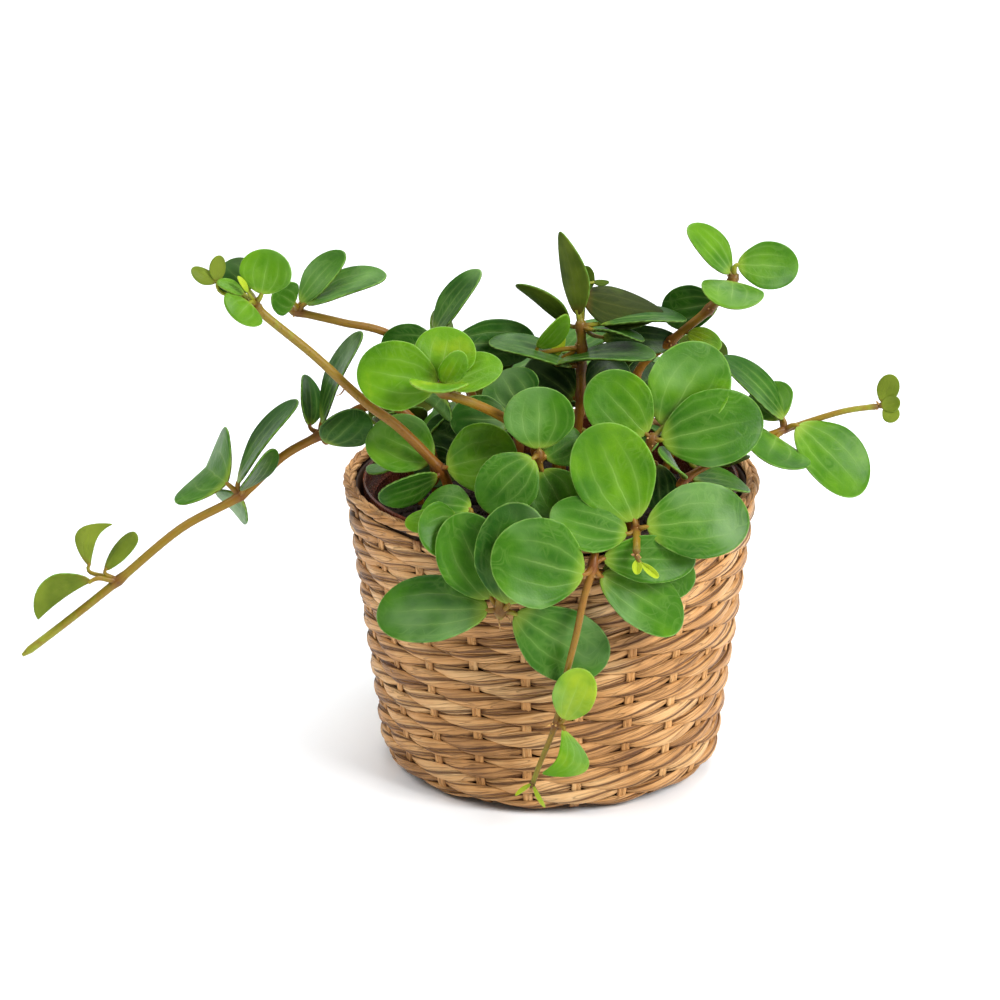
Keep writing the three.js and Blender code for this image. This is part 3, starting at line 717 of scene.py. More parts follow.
# %% Spin the pot
POT_BASE = 4.3 * MM
POT_WALL = 1 * MM
POT_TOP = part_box("nursery_pot")[1].z
POT_RIM_RADIUS = 62.9 * MM
POT_FLOOR_RADIUS = 46 * MM
COLLAR_FOOT = POT_TOP - 9 * MM
COLLAR_STEP = 2 * MM
COLLAR_FLARE = 0.4 * MM
DRAIN_HOLES = 6
DRAIN_RADIUS = 3.5 * MM
DRAIN_CIRCLE = 32 * MM
DRAIN_SIDES = 20
POT_LIP = 0.5 * MM
POT_SIDES = 128
SHARP_EDGE = math.radians(40)


def pot_radius(height):
    climb = (height - POT_BASE) / (COLLAR_FOOT - POT_BASE)
    top = POT_RIM_RADIUS - COLLAR_STEP - COLLAR_FLARE
    return POT_FLOOR_RADIUS + (top - POT_FLOOR_RADIUS) * climb


def nursery_pot():
    wall_top = pot_radius(COLLAR_FOOT)
    collar = POT_RIM_RADIUS - COLLAR_FLARE
    outside = [
        (0, POT_BASE), (POT_FLOOR_RADIUS - POT_LIP, POT_BASE), (POT_FLOOR_RADIUS, POT_BASE + POT_LIP),
        (wall_top, COLLAR_FOOT - POT_LIP), (wall_top + POT_LIP, COLLAR_FOOT),
        (collar - POT_LIP, COLLAR_FOOT), (collar, COLLAR_FOOT + POT_LIP),
        (POT_RIM_RADIUS, POT_TOP - POT_LIP), (POT_RIM_RADIUS - POT_LIP, POT_TOP),
    ]
    inside = [
        (POT_RIM_RADIUS - POT_WALL, POT_TOP - POT_LIP), (collar - POT_WALL, COLLAR_FOOT + POT_WALL),
        (wall_top - POT_WALL, COLLAR_FOOT + POT_WALL),
        (POT_FLOOR_RADIUS - POT_WALL, POT_BASE + POT_WALL), (0, POT_BASE + POT_WALL),
    ]
    pot = turned("plastic_pot", outside + inside, POT_SIDES)
    bpy.ops.object.select_all(action="DESELECT")
    for hole in range(DRAIN_HOLES):
        angle = hole / DRAIN_HOLES * 2 * math.pi
        place = (DRAIN_CIRCLE * math.cos(angle), DRAIN_CIRCLE * math.sin(angle), POT_BASE)
        bpy.ops.mesh.primitive_cylinder_add(vertices=DRAIN_SIDES, radius=DRAIN_RADIUS,
                                            depth=4 * POT_WALL, location=place)
        drill = bpy.context.active_object
        cut = pot.modifiers.new("drain", "BOOLEAN")
        cut.operation = "DIFFERENCE"
        cut.object = drill
        only(pot)
        bpy.ops.object.modifier_apply(modifier=cut.name)
        bpy.data.objects.remove(drill)
    only(pot)
    bpy.ops.object.shade_smooth_by_angle(angle=SHARP_EDGE)
    return pot


def pot_plastic():
    finish = Finish("glossy plastic")
    where = finish.place()
    blotches = finish.noise(where, 120.0, 4.0)
    dust = finish.step(finish.noise(where, 900.0, 3.0), 0.5, 0.75)
    colour = finish.ramp(blotches, [(0.3, paint(70, 32, 20)), (0.7, paint(122, 62, 42))])
    finish.set("Base Color", finish.mix(finish.times(dust, 0.12), colour, paint(140, 96, 70)))
    finish.set("Roughness", finish.scaled(dust, 0.25, 0.2))
    finish.bump(blotches, 0.15 * MM)
    return finish.material


finished(nursery_pot(), pot_plastic(), "pot", "nursery_pot")

# %% [markdown]
# ## The soil
#
# Dark potting soil lies a finger's width below the pot's mouth. Its surface swells as the solid's
# does, with finer lumps of noise, and crumbs and a few white grains lie on it. A bump could stand for
# the crumbs, but between the leaves they are seen from the side. They are one small stone, turned
# and scaled for each place.

# %% Heap the soil
SOIL_TOP = 87 * MM
SOIL_SWELL = 1.4 * MM
SWELL_WIDTH = 9 * MM
SWELL_LENGTH = 7 * MM
SOIL_LUMPS = 0.9 * MM
LUMP_SCALE = 160  # lumps to a metre
FINE_LUMP_SCALE = 420
SOIL_RINGS = 30
SOIL_SIDES = 110
SOIL_GAP = 0.4 * MM  # between the soil and the pot's wall
SOIL_FLOOR_GAP = 0.3 * MM
CRUMBS = 1500
CRUMB_SIZES = (0.5 * MM, 2.4 * MM)  # smallest and largest, from the middle to the surface
GRAINS = 70
GRAIN_SIZES = (0.5 * MM, 1.3 * MM)
CRUMB_MARGIN = 2 * MM
CRUMB_ROUGHNESS = 0.3
CRUMB_SEED = 3
FLATTEST_CRUMB = 0.5
SMALL_ONES = 3  # the higher, the more small crumbs for each large one
CRUMB_RISE = 0.25  # how far a crumb's middle is above the soil, as a share of its size


def soil_level(x, y):
    swell = SOIL_SWELL * math.sin(x / SWELL_WIDTH) * math.cos(y / SWELL_LENGTH)
    lumps = noise.noise(Vector((x, y, 0)) * LUMP_SCALE)
    fine_lumps = noise.noise(Vector((x, y, 1)) * FINE_LUMP_SCALE)
    return SOIL_TOP + swell + SOIL_LUMPS * (lumps + fine_lumps / 2)


def soil_edge(height):
    return pot_radius(height) - POT_WALL - SOIL_GAP


def soil_heap():
    floor = POT_BASE + POT_WALL + SOIL_FLOOR_GAP
    edge = soil_edge(SOIL_TOP)
    top = [(edge * ring / SOIL_RINGS, SOIL_TOP) for ring in range(SOIL_RINGS, -1, -1)]
    heap = turned("potting_soil", [(0, floor), (soil_edge(floor), floor), *top], SOIL_SIDES)
    for vertex in heap.data.vertices:
        if vertex.co.z > SOIL_TOP - MM:
            vertex.co.z = soil_level(vertex.co.x, vertex.co.y)
    return heap


def crumb_master():
    bpy.ops.mesh.primitive_ico_sphere_add(subdivisions=1, radius=1)
    stone = bpy.context.active_object
    edit(stone)
    bpy.ops.transform.vertex_random(offset=CRUMB_ROUGHNESS, seed=CRUMB_SEED)
    return read_master(settle(stone))


def scatter(name, count, smallest, largest):
    """Lays small stones on the soil, more small ones than large ones."""
    master = crumb_master()
    corner_map = np.zeros((len(master["loops"]), 2))
    copies, tones = [], []
    for _ in range(count):
        distance = (soil_edge(SOIL_TOP) - CRUMB_MARGIN) * math.sqrt(chance.uniform(0, 1))
        angle = chance.uniform(0, 2 * math.pi)
        x, y = distance * math.cos(angle), distance * math.sin(angle)
        size = smallest + (largest - smallest) * chance.uniform(0, 1) ** SMALL_ONES
        turn = Quaternion(chance.normal(size=3), chance.uniform(0, math.pi)).to_matrix()
        shape = master["points"] * chance.uniform(FLATTEST_CRUMB, 1, 3) * size
        copies.append(shape @ np.array(turn) + (x, y, soil_level(x, y) + size * CRUMB_RISE))
        tones.append(np.full(len(master["points"]), chance.uniform(-1, 1)))
    return lay_copies(name, master, copies, [corner_map] * count, {"tone": tones})


def soil_finish(name, dark, light):
    finish = Finish(name, Roughness=0.95)
    grit = finish.noise(finish.place(), 1400.0, 6.0)
    patches = finish.noise(finish.place(), 160.0, 3.0)
    shade = finish.scaled(finish.mark("tone"), 0.12, finish.times(grit, patches))
    finish.set("Base Color", finish.ramp(shade, [(0.1, dark), (0.45, light)]))
    finish.bump(grit, 0.6 * MM)
    return finish.material


earth = soil_finish("potting soil", paint(22, 16, 12), paint(72, 54, 40))
finished(soil_heap(), earth, "soil", "soil")
finished(scatter("soil_crumbs", CRUMBS, *CRUMB_SIZES), earth, "soil", "soil")
pearl = soil_finish("perlite", paint(190, 184, 172), paint(236, 232, 224))
finished(scatter("soil_grains", GRAINS, *GRAIN_SIZES), pearl, "soil", "soil")

# %% [markdown]
# ## Where the shoots grow
#
# The plant is a set of shoots. Each has a stem that leaves the soil and passes a list of points,
# and leaves that grow from some of them. A rule could grow them all, as it grows those at the back,
# but from the front each leaf has a known place. The lists follow the measurements that the solids
# are made from, with some leaves placed or turned anew, so that a drawn leaf lies in its solid one
# or close beside it.
#
# age is 0 on a fresh lime leaf and 1 on a dark old one, and ages names the leaves that differ from
# the rest of their shoot. shapes names the leaves that are folded (in degrees), swept or narrow (as
# shares of the leaf's size). The solids go without the rest: more holds buds, small leaves and some
# dark ones behind the others, and roots holds the thin roots at the nodes.

# %% The measured shoots
# A path point is [across, up, front] as seen, in mm. A leaf is [path point it grows from,
# base of the blade, tip of the blade, width, roll about its length in degrees], and one in more
# ends with its age. root is where the stem stands in the soil, right and front of the pot's axis,
# and radii are the stem's own at its foot and at its tip.
SEEN_SHOOTS = [
    dict(
        name="shoot_trail_left", age=0.78, ages={0: 0.36, 1: 0.3, 2: 0.42, 3: 0.6, 6: 0.6},
        shapes={
            0: dict(fold=34), 1: dict(sweep=0.4, narrow=0.6),
            2: dict(sweep=0.1, fold=20, narrow=-0.3), 3: dict(fold=12),
        },
        root=[-38, 12], radii=[1.65, 1.35],
        path=[[-40, 16, 12], [-50, 30, 12], [-63, 31, 15], [-77, 22, 18], [-90, 14.5, 20],
              [-104, 1.5, 22], [-124, -9.5, 24], [-145, -27, 26], [-160, -39, 27], [-177, -52, 28]],
        leaves=[
            [7, [-154, -27, 29.5], [-172, -40, 34], 16, 118],
            [7, [-155, -22, 24], [-147, -8, 19], 9, 160],
            [7, [-149.5, -23.5, 27.5], [-139, -11, 26], 6.5, 150],
            [5, [-108.5, 5.5, 22], [-115.5, 11, 0], 31, 0],
            [5, [-105, 6, 22], [-84.5, 33, 24], 20, -70],
            [5, [-103, 3.5, 25], [-94, 17, 34], 14, 70],
            [5, [-104, 1, 19], [-107, -3, 0], 15, 0], [3, [-81, 25, 14], [-82, 42, 4], 13, 60],
            [3, [-77, 26, 18], [-63, 56, 20], 20, -70], [3, [-75, 19, 20], [-63, 30, 26], 18, 40],
        ],
    ),
    dict(
        name="shoot_upper_left", age=0.45, ages={1: 0.36, 2: 0.68, 3: 0.3, 4: 0.3, 5: 0.8, 6: 0.35},
        more=[[7, [-101.5, 69.5, 44], [-105, 75, 45], 2.2, 30, 0.1]],
        roots=[[[-69, 37.5, 39], [-70.5, 35.5, 40], [-72, 35, 40]]],
        root=[-30, 31], radii=[1.8, 1.4],
        path=[[-34, 3, 33], [-37.5, 10.5, 36], [-50, 23.5, 37], [-60, 31, 38], [-67, 37, 38],
              [-80, 49, 39], [-96, 62, 40], [-99, 66, 40]],
        leaves=[
            [1, [-39.5, 13.2, 33], [-61, 23, 24], 21, 20],
            [1, [-35, 11, 38], [-11.5, 17, 36], 23, 0],
            [1, [-38, 8, 38], [-58, 1, 46], 14, -50], [7, [-101, 66, 44], [-106, 60.5, 50], 15, 0],
            [7, [-97, 69, 42], [-94, 84, 40], 17, 0], [7, [-101, 70, 36], [-110, 79, 32], 14, 10],
            [7, [-103, 69, 42], [-112, 73, 44], 6, 50],
            [7, [-112, 73, 42], [-120.5, 77.5, 42], 5.5, 205],
            [7, [-112, 73, 42], [-111, 82, 40], 5.5, 205],
        ],
    ),
    dict(
        name="shoot_behind_left", age=0.6,
        root=[-22, -6], radii=[1.5, 1.3],
        path=[[-28, 38, -5], [-53, 55, -2], [-70, 59.5, 0], [-85, 63, 0], [-88, 64, 0]],
        leaves=[
            [3, [-84, 66, 0], [-69, 83, -2], 14, -45], [3, [-82, 66, 2], [-55, 75, 4], 20, -62],
            [3, [-86, 66, 4], [-93, 70, 14], 12, 0],
        ],
    ),
    dict(
        name="shoot_bright", age=0.3, ages={5: 0.7},
        root=[-3, 28], radii=[1.65, 1.5],
        path=[[-6, 20, 36], [-15, 27, 40], [-25, 32, 44], [-36, 36, 48], [-38, 38, 49]],
        leaves=[
            [3, [-38, 39, 49], [-65, 44, 46], 22.5, 0], [3, [-37, 40, 48], [-34, 58, 40], 20, 0],
            [3, [-36, 39, 50], [-30, 50, 52], 9, 20], [3, [-34, 38, 49], [-16.5, 46, 46], 15, -35],
            [3, [-37, 38.5, 51], [-38.5, 36, 67], 19, 20], [3, [-36, 35, 46], [-39, 31, 30], 14, 0],
        ],
    ),
    dict(
        name="shoot_back_rosette", age=0.75,
        root=[-20, 4], radii=[1.5, 1.4],
        path=[[-26, 34, 4], [-35, 50, 4], [-36, 53, 4]],
        leaves=[
            [1, [-38, 52, 4], [-57, 52, 2], 14, 0], [1, [-39, 56, 3], [-23.5, 77, 0], 15, -55],
            [1, [-33, 52, 2], [-5, 53, -8], 16, 0],
        ],
    ),
    dict(
        name="shoot_dark_left", age=0.85,
        more=[
            [0, [-24, 16, 8], [-42, 25, 0], 17, 0, 0.95],
            [0, [-30, 10, 14], [-46, 12, 4], 14, 0, 0.95],
        ],
        root=[-10, 18], radii=[1.5, 1.4],
        path=[[-11, 18, 20], [-12, 27, 20], [-12, 30, 20]],
        leaves=[
            [1, [-10, 30, 20], [-17, 43, 14], 20, 0], [1, [-14, 27, 21], [-34, 27, 24], 16, 0],
        ],
    ),
    dict(
        name="shoot_upright", age=0.78, ages={1: 0.3, 0: 0.72, 3: 0.6, 4: 0.85, 5: 0.7},
        shapes={3: dict(narrow=0.55), 4: dict(narrow=0.55), 1: dict(fold=20)},
        more=[
            [1, [8, 34, -2], [-8, 46, -8], 18, 0, 0.95],
            [1, [12, 35, -2], [25, 46, -10], 16, 0, 0.95],
            [4, [11, 69, 0], [12, 78.5, -2], 6, 170, 0.6],
            [4, [14, 73, 0], [19.5, 73, -2], 2.5, 150, 0.6],
            [3, [1.5, 48, 3], [3.5, 57, 3], 4.5, 0, 0.0],
            [4, [17, 54.5, -4], [43, 53, -8], 9.5, 0, 0.9],
        ],
        root=[6, 4], radii=[1.6, 1.5],
        path=[[9, 25, 4], [10, 35, 4], [10, 45, 4], [10.3, 51, 4], [10, 58, 4], [10, 61, 4]],
        leaves=[
            [2, [7, 45, 5], [-21, 52.5, 8], 20, 68], [3, [-4.5, 51.2, 6], [5.3, 62.3, 9], 8.5, 35],
            [2, [1.5, 45.8, 8], [35, 47.6, 18], 24, -75], [4, [9, 62, 4], [3, 90, 2], 15, 128],
            [4, [10.3, 68.2, 1], [37.8, 62.5, -1], 21, 140],
            [4, [6, 58.5, 2], [-11.5, 72.3, 6], 12.5, 112], [4, [14, 57, 7], [31, 53, 14], 14, -80],
            [4, [16, 59, 5], [45.5, 60.5, 2], 20, -72],
        ],
    ),
    dict(
        name="shoot_top_right", age=0.42, ages={3: 0.75, 4: 0.2},
        more=[[0, [26, 36, -12], [37, 44, -18], 15, 0, 0.9]],
        root=[24, -10], radii=[1.5, 1.4],
        path=[[28, 40, -8], [40, 53, -6], [53, 64, -4], [61, 74, -3], [62, 76, -3]],
        leaves=[
            [3, [60, 76, -3], [46, 92, -6], 15, 45], [3, [62.5, 79, -3], [83, 78, -5], 16, 0],
            [3, [61, 73, -1], [60, 64, 14], 21, 0], [2, [56, 66, -8], [37, 63, -16], 15, 0],
            [1, [46, 56, -4], [57, 51, 4], 8, 0],
        ],
    ),
    dict(
        name="shoot_trail_right", age=0.5, ages={4: 0.3, 5: 0.3, 0: 0.7, 6: 0.7},
        more=[[6, [110.5, 31.5, 10], [117, 33, 12], 5.5, 170, 0.3]],
        root=[36, 37], radii=[1.3, 1],
        path=[[40, 0, 41], [45, 7, 45], [56, 13.5, 40], [68, 20, 24], [78, 23.5, 12],
              [97, 29.5, 10], [110, 31.5, 9]],
        leaves=[
            [4, [78, 27, 11], [57, 48, 4], 19, 60], [4, [77, 27, 10], [70.5, 38.5, -2], 16, 0],
            [4, [82.5, 25, 14], [104.5, 2.5, 22], 23.5, -30],
            [4, [75.5, 21, 16], [71.5, 13, 36], 27.5, 0],
            [6, [111, 32.5, 9], [114.5, 42, 8], 7.5, 170],
            [6, [111.5, 31, 10], [116, 26.8, 13], 6, 180],
            [1, [47, 7, 43], [66, 4, 34], 16, -65], [1, [44, 8, 47], [36.5, 15, 53], 15, 80],
        ],
    ),
    dict(
        name="shoot_right", age=0.58, ages={0: 0.4, 1: 0.46},
        more=[[0, [35.5, 12, 41], [37, -4, 46], 12, 0, 0.95]],
        root=[26, 38], radii=[1.6, 1.5],
        path=[[31, 12, 43], [34, 20.5, 45], [35, 22, 45]],
        leaves=[
            [1, [32, 22, 45], [14, 41, 38], 22, 0],
            [1, [37.5, 24.5, 43], [54.5, 51.5, 34], 26.5, 0],
            [1, [37, 20, 47], [71, 28, 42], 25, 0],
        ],
    ),
    dict(
        name="shoot_front_right", age=0.5, ages={0: 0.46, 2: 0.6, 3: 0.0, 4: 0.0},
        shapes={1: dict(sweep=-0.07), 3: dict(fold=35), 4: dict(fold=40)},
        root=[24, 45], radii=[1.6, 1.1],
        path=[[26, -1, 54], [27.5, -6, 61], [28.5, -10, 66], [28.7, -15, 75], [28.5, -18.5, 78]],
        leaves=[
            [2, [28, -7, 66], [14, 25, 50], 27, 0],
            [2, [25.5, -11.5, 69], [-0.5, -4.5, 68], 21, 34],
            [2, [32, -9, 68], [66.5, -6, 62], 25, -10], [4, [28.8, -20, 78], [28.8, -25, 80], 4, 0],
            [4, [30, -21, 79], [36, -26, 79], 3.5, 0],
        ],
    ),
    dict(
        name="shoot_hanging", age=0.6, ages={2: 0.55, 3: 0.5, 4: 0.12, 5: 0.26},
        shapes={4: dict(narrow=-0.25), 5: dict(sweep=-0.42, narrow=0.3)},
        more=[
            [8, [-6.5, -95, 70.5], [-12, -99, 71], 1.7, 30, -0.25],
            [8, [-6, -95.5, 71], [-2, -103, 72], 1.7, 30, -0.25],
        ],
        roots=[[[0.5, -75, 75], [-0.8, -75.5, 76.5], [-2.7, -76.4, 77]]],
        root=[12, 47], radii=[1.65, 0.8],
        path=[[13, -4, 58], [15, -10.5, 68], [14, -22, 76], [11, -33, 77.5], [8.5, -45, 77.5],
              [5, -59, 76.5], [1.5, -75, 74], [-4, -89, 71], [-6.5, -96, 70]],
        leaves=[
            [2, [17.5, -19.5, 74], [48.5, -20, 67], 15.5, 0],
            [2, [17, -24, 69], [48.5, -26, 57], 18, 0],
            [2, [11, -25, 80], [-20, -17, 84], 29, 0],
            [2, [16.5, -25.5, 73], [44, -42, 67], 21, -24],
            [6, [4.5, -73.5, 76], [11, -56.5, 80], 13, 0],
            [6, [4.5, -77, 76], [-2.5, -92, 79], 11.5, 0],
        ],
    ),
    dict(
        name="shoot_front_left", age=0.66, ages={3: 0.8},
        roots=[
            [[-17.5, -40, 78], [-17.2, -42, 79], [-17, -44, 79]],
            [[-15, -39, 78], [-14, -40, 79.5], [-13.6, -41, 79.5]],
        ],
        root=[-12, 47], radii=[1.6, 1.5],
        path=[[-13, -4, 57], [-15, -10.5, 68], [-16.5, -22, 76], [-17, -37, 77], [-17, -40, 77]],
        leaves=[
            [3, [-21, -37, 77], [-58.5, -38, 64], 23, 20],
            [3, [-12, -38, 75], [18, -56, 65], 24, 10],
            [3, [-20, -33, 75], [-32.5, -4.8, 67.5], 23, 0],
            [3, [-14, -35, 79], [-11.2, -0.6, 73], 25, 0],
        ],
    ),
    dict(
        name="shoot_front_centre", age=0.55,
        root=[-6, 38], radii=[1.6, 1.5],
        path=[[-5, 5, 46], [-4, 15, 50], [-4, 17, 50]],
        leaves=[
            [1, [-4, 17, 50], [-4, 38, 44], 23, 0], [1, [-6, 14, 53], [-23, -3, 60], 20, 0],
            [1, [-2, 14, 48], [10, 22, 42], 14, 0], [1, [-3, 10, 50], [6, -6, 54], 18, 0],
        ],
    ),
    dict(
        name="shoot_low_left", age=0.5, ages={2: 0.35},
        root=[-24, 44], radii=[1.5, 1.4],
        path=[[-26, -6, 54], [-28, -7, 61], [-28.5, -7, 63]],
        leaves=[
            [1, [-30, -8, 61], [-44, -13, 70], 19, 0], [1, [-27, -3, 60], [-43, -2, 52], 16, 40],
            [1, [-32, -6, 62], [-49, -8, 58], 8, 0],
        ],
    ),
]

# %% [markdown]
# The back of the plant has the same kinds of shoot: two that trail over the rim and short ones that
# cover the soil. A rule sets a whorl of three leaves at each node, with numbers that are random but
# the same on each run.

# %% The shoots at the back
# A path point is [right, front, height] in mm. whorls lists the points that leaves grow from, and a
# short shoot has one whorl, at its tip. seed sets the numbers that its leaves are turned by.
TRAILING_SHOOTS = [
    dict(
        name="shoot_back_trail_left", seed=1, root=[-16, -34], radii=[1.6, 1.2], leaf_length=27,
        path=[[-19, -46, 116], [-25, -62, 122], [-31, -79, 106], [-35, -87, 82], [-37, -88, 58]],
        whorls=[0, 2, 3, 4],
    ),
    dict(
        name="shoot_back_trail_right", seed=3, root=[19, -36], radii=[1.6, 1.3], leaf_length=27,
        path=[[22, -47, 117], [28, -63, 122], [32, -79, 108], [34, -87, 88]],
        whorls=[0, 2, 3],
    ),
]


def short_shoot(name, seed, leaf_length, root, *path, radii=(1.5, 1.4)):
    return dict(name=name, seed=seed, root=root, radii=radii, leaf_length=leaf_length, path=path,
                whorls=[1])


SHORT_SHOOTS = [
    short_shoot("shoot_back_centre", 35, 23, [2, -16], [2, -17, 110], [1, -19, 133],
                radii=(1.6, 1.5)),
    short_shoot("shoot_back_left", 8, 21, [-36, -24], [-40, -27, 98], [-44, -30, 104]),
    short_shoot("shoot_back_right", 4, 23, [38, -24], [42, -27, 101], [46, -31, 109]),
    short_shoot("shoot_left_side", 7, 20, [-44, -4], [-46, -4, 98], [-49, -4, 103]),
    short_shoot("shoot_right_side", 1, 20, [46, 4], [48, 3, 97], [50, 1, 101]),
    short_shoot("shoot_inner_right", 20, 20, [21, 18], [21, 17, 99], [21, 16, 107]),
    short_shoot("shoot_inner_back", 9, 17, [4, -28], [4, -29, 103], [4, -30, 113]),
    short_shoot("shoot_middle", 22, 17, [12, -4], [12, -4, 103], [13, -4, 113]),
    short_shoot("shoot_inner_left", 2, 19, [-18, -20], [-18, -21, 98], [-18, -22, 104]),
]

# %% [markdown]
# ## One leaf
#
# The leaf of this plant is thick and waxy, nearly round, slightly cupped, with a soft edge. It could
# be a flattened ball, but the rings of a circle filled by insets follow the edge and bend evenly. A
# Solidify modifier gives the thickness and a Subdivision Surface rounds the edge. The unit leaf is
# 2 across, 2 long and 1 thick, and each copy is bent to its place.

# %% Model one leaf
LEAF_CORNERS = 24
LEAF_INSETS = (0.1, 0.2, 0.26)
UNIT_THICKNESS = 0.2  # while it is modelled, before it is brought to 1


def leaf_master():
    bpy.ops.mesh.primitive_circle_add(vertices=LEAF_CORNERS, radius=1, fill_type="NGON")
    blade = bpy.context.active_object
    edit(blade)
    for inset in LEAF_INSETS:
        bpy.ops.mesh.inset(thickness=inset)
    bpy.ops.mesh.poke()
    bpy.ops.object.mode_set(mode="OBJECT")
    solid = blade.modifiers.new("thickness", "SOLIDIFY")
    solid.thickness = UNIT_THICKNESS
    solid.offset = 0
    smooth = blade.modifiers.new("soft edge", "SUBSURF")
    smooth.levels = 1
    smooth.render_levels = 1
    master = read_master(settle(blade))
    points = master["points"]
    points[:, :2] /= np.abs(points[:, :2]).max()
    points[:, 2] /= np.ptp(points[:, 2])
    return master


blade = leaf_master()
blade_uv = blade["points"][blade["loops"]][:, :2] / 2 + 0.5
print("leaf:", len(blade["starts"]), "faces")

# %% [markdown]
# ## Placing a leaf
#
# A blade points from its base to its tip and faces as squarely as it can towards a given side, then
# it is rolled about its own length. Bow lifts its middle, cup lifts its sides, and a little waviness
# keeps two leaves from looking alike. A few are folded along the middle, swept to one side, or
# narrower towards the tip.

# %% Bend a leaf to its place
LEAF_THICKNESS = 1.1 * MM
THINNEST_LEAF = 0.25 * MM
THICKNESS_GAIN = 0.12  # of a leaf's width, until it has its full thickness
TIP_THINNING = 0.25
BLADE_CUP = 0.07
BLADE_BOW = 0.05
BASE_TAPER = 0.22  # how much narrower the blade is at its base
TAPER_REACH = 0.35
WAVE_TURNS = 2.6
WAVE_SHIFT = 20  # puts the waves at another place on each leaf


def facing(base, tip, towards, roll):
    along = (tip - base).normalized()
    face = (towards - along * towards.dot(along)).normalized()
    return Quaternion(along, math.radians(roll)) @ face


def bent_leaf(leaf, wave, fold=0, sweep=0, narrow=0):
    across_share, along_share, level = blade["points"].T
    reach = leaf["tip"] - leaf["base"]
    length, half_width = reach.length, leaf["width"] / 2
    along = reach.normalized()
    across = along.cross(leaf["face"])
    share = (along_share + 1) / 2
    arch = 4 * share * (1 - share)
    taper = 1 - BASE_TAPER * np.clip(TAPER_REACH - share, 0, 1) / TAPER_REACH
    sideways = across_share * taper * (1 - narrow * share**2)
    aside = sideways * half_width * math.cos(math.radians(fold)) + sweep * length * arch
    rise = BLADE_BOW * length * arch + 2 * BLADE_CUP * half_width * sideways**2
    rise = rise + np.abs(sideways) * half_width * math.sin(math.radians(fold))
    waves = np.sin(WAVE_TURNS * along_share + WAVE_SHIFT * wave)
    rise = rise + wave * leaf["width"] * sideways * waves
    thickness = min(LEAF_THICKNESS, THINNEST_LEAF + THICKNESS_GAIN * leaf["width"])
    rise = rise + level * thickness * (1 - TIP_THINNING * share)
    return (np.outer(share * length, along) + np.outer(aside, across)
            + np.outer(rise, leaf["face"]) + np.array(leaf["base"]))


# %% [markdown]
# ## Leaf and stem finishes
#
# The blade is mid green, darker with age and lime when fresh. Three pale veins run from the base,
# the outer two in arcs, and a fainter pair nearer the edge, with branches and a net between them.
# A thin paler line follows the edge: partly the blade's own paler margin, partly a painted highlight
# where the thick edge catches the light. The veins could be painted on a picture, but they are worked
# out from the leaf's own map and stay sharp at any size: an arc is a line of constant share of the
# local half width. Pale patches are a painted sheen, the soft reflection of the lights on the blade.
# The underside is olive, and brown near the stalk.

# %% The leaf's veins
# Each arc is its share of the half width, its breadth and its strength. The broad ones are the soft
# light beside the narrow ones.
VEIN_ARCS = (
    (0.0, 0.05, 1.0), (0.46, 0.05, 0.7), (0.8, 0.06, 0.3), (0.0, 0.18, 0.5), (0.46, 0.16, 0.35),
)
VEIN_WOBBLE = 0.09
BRANCH_SLANT = -0.7
BRANCH_COUNT = 2.8  # on half the blade's length
BRANCH_STRENGTH = 0.4
NET_CELLS = 8.0
NET_LINE = 0.16
NET_STRENGTH = 0.34
NET_WARP = 0.04


def vein_arcs(finish, side, along):
    """The main veins, each a narrow line with a soft light beside it."""
    square = finish.times(along, along)
    half_width = finish.math("SQRT", finish.larger(finish.rest(square), 0.01))
    arcs = 0.0
    for share, breadth, strength in VEIN_ARCS:
        distance = finish.math("ABSOLUTE", finish.scaled(half_width, -share, side))
        line = finish.rest(finish.step(distance, 0.0, breadth))
        arcs = finish.larger(arcs, finish.times(line, strength))
    return arcs


def vein_branches(finish, side, along, where):
    slope = finish.scaled(side, BRANCH_SLANT, along)
    slope = finish.scaled(finish.noise(where, 130.0, 1.0), 0.1, slope)
    comb = finish.math("PINGPONG", finish.times(slope, BRANCH_COUNT), 0.5)
    return finish.times(finish.step(comb, 0.38, 0.5), BRANCH_STRENGTH)


def vein_net(finish, own, where):
    drift = finish.add("TexNoise", {"Vector": where, "Scale": 120.0, "Detail": 0.0}).outputs["Color"]
    inputs = {0: own, 1: drift, 2: (NET_WARP, NET_WARP, NET_WARP)}
    warped = finish.add("VectorMath", inputs, operation="MULTIPLY_ADD").outputs[0]
    inputs = {"Vector": warped, "Scale": NET_CELLS}
    cells = finish.add("TexVoronoi", inputs, feature="DISTANCE_TO_EDGE").outputs["Distance"]
    return finish.times(finish.rest(finish.step(cells, 0.0, NET_LINE)), NET_STRENGTH)


def leaf_veins(finish, own, side, along, where):
    fade = finish.rest(finish.step(along, -0.2, 1.0))
    patchy = finish.step(finish.noise(where, 90.0, 2.0), 0.35, 0.65)
    wobble = finish.scaled(finish.noise(where, 240.0, 2.0), VEIN_WOBBLE, -VEIN_WOBBLE / 2)
    side = finish.math("ABSOLUTE", finish.math("ADD", side, wobble))
    arcs = finish.times(vein_arcs(finish, side, along), fade)
    branches = finish.times(vein_branches(finish, side, along, where), finish.times(patchy, fade))
    net = finish.times(vein_net(finish, own, where), patchy)
    return finish.larger(finish.larger(arcs, branches), net), side


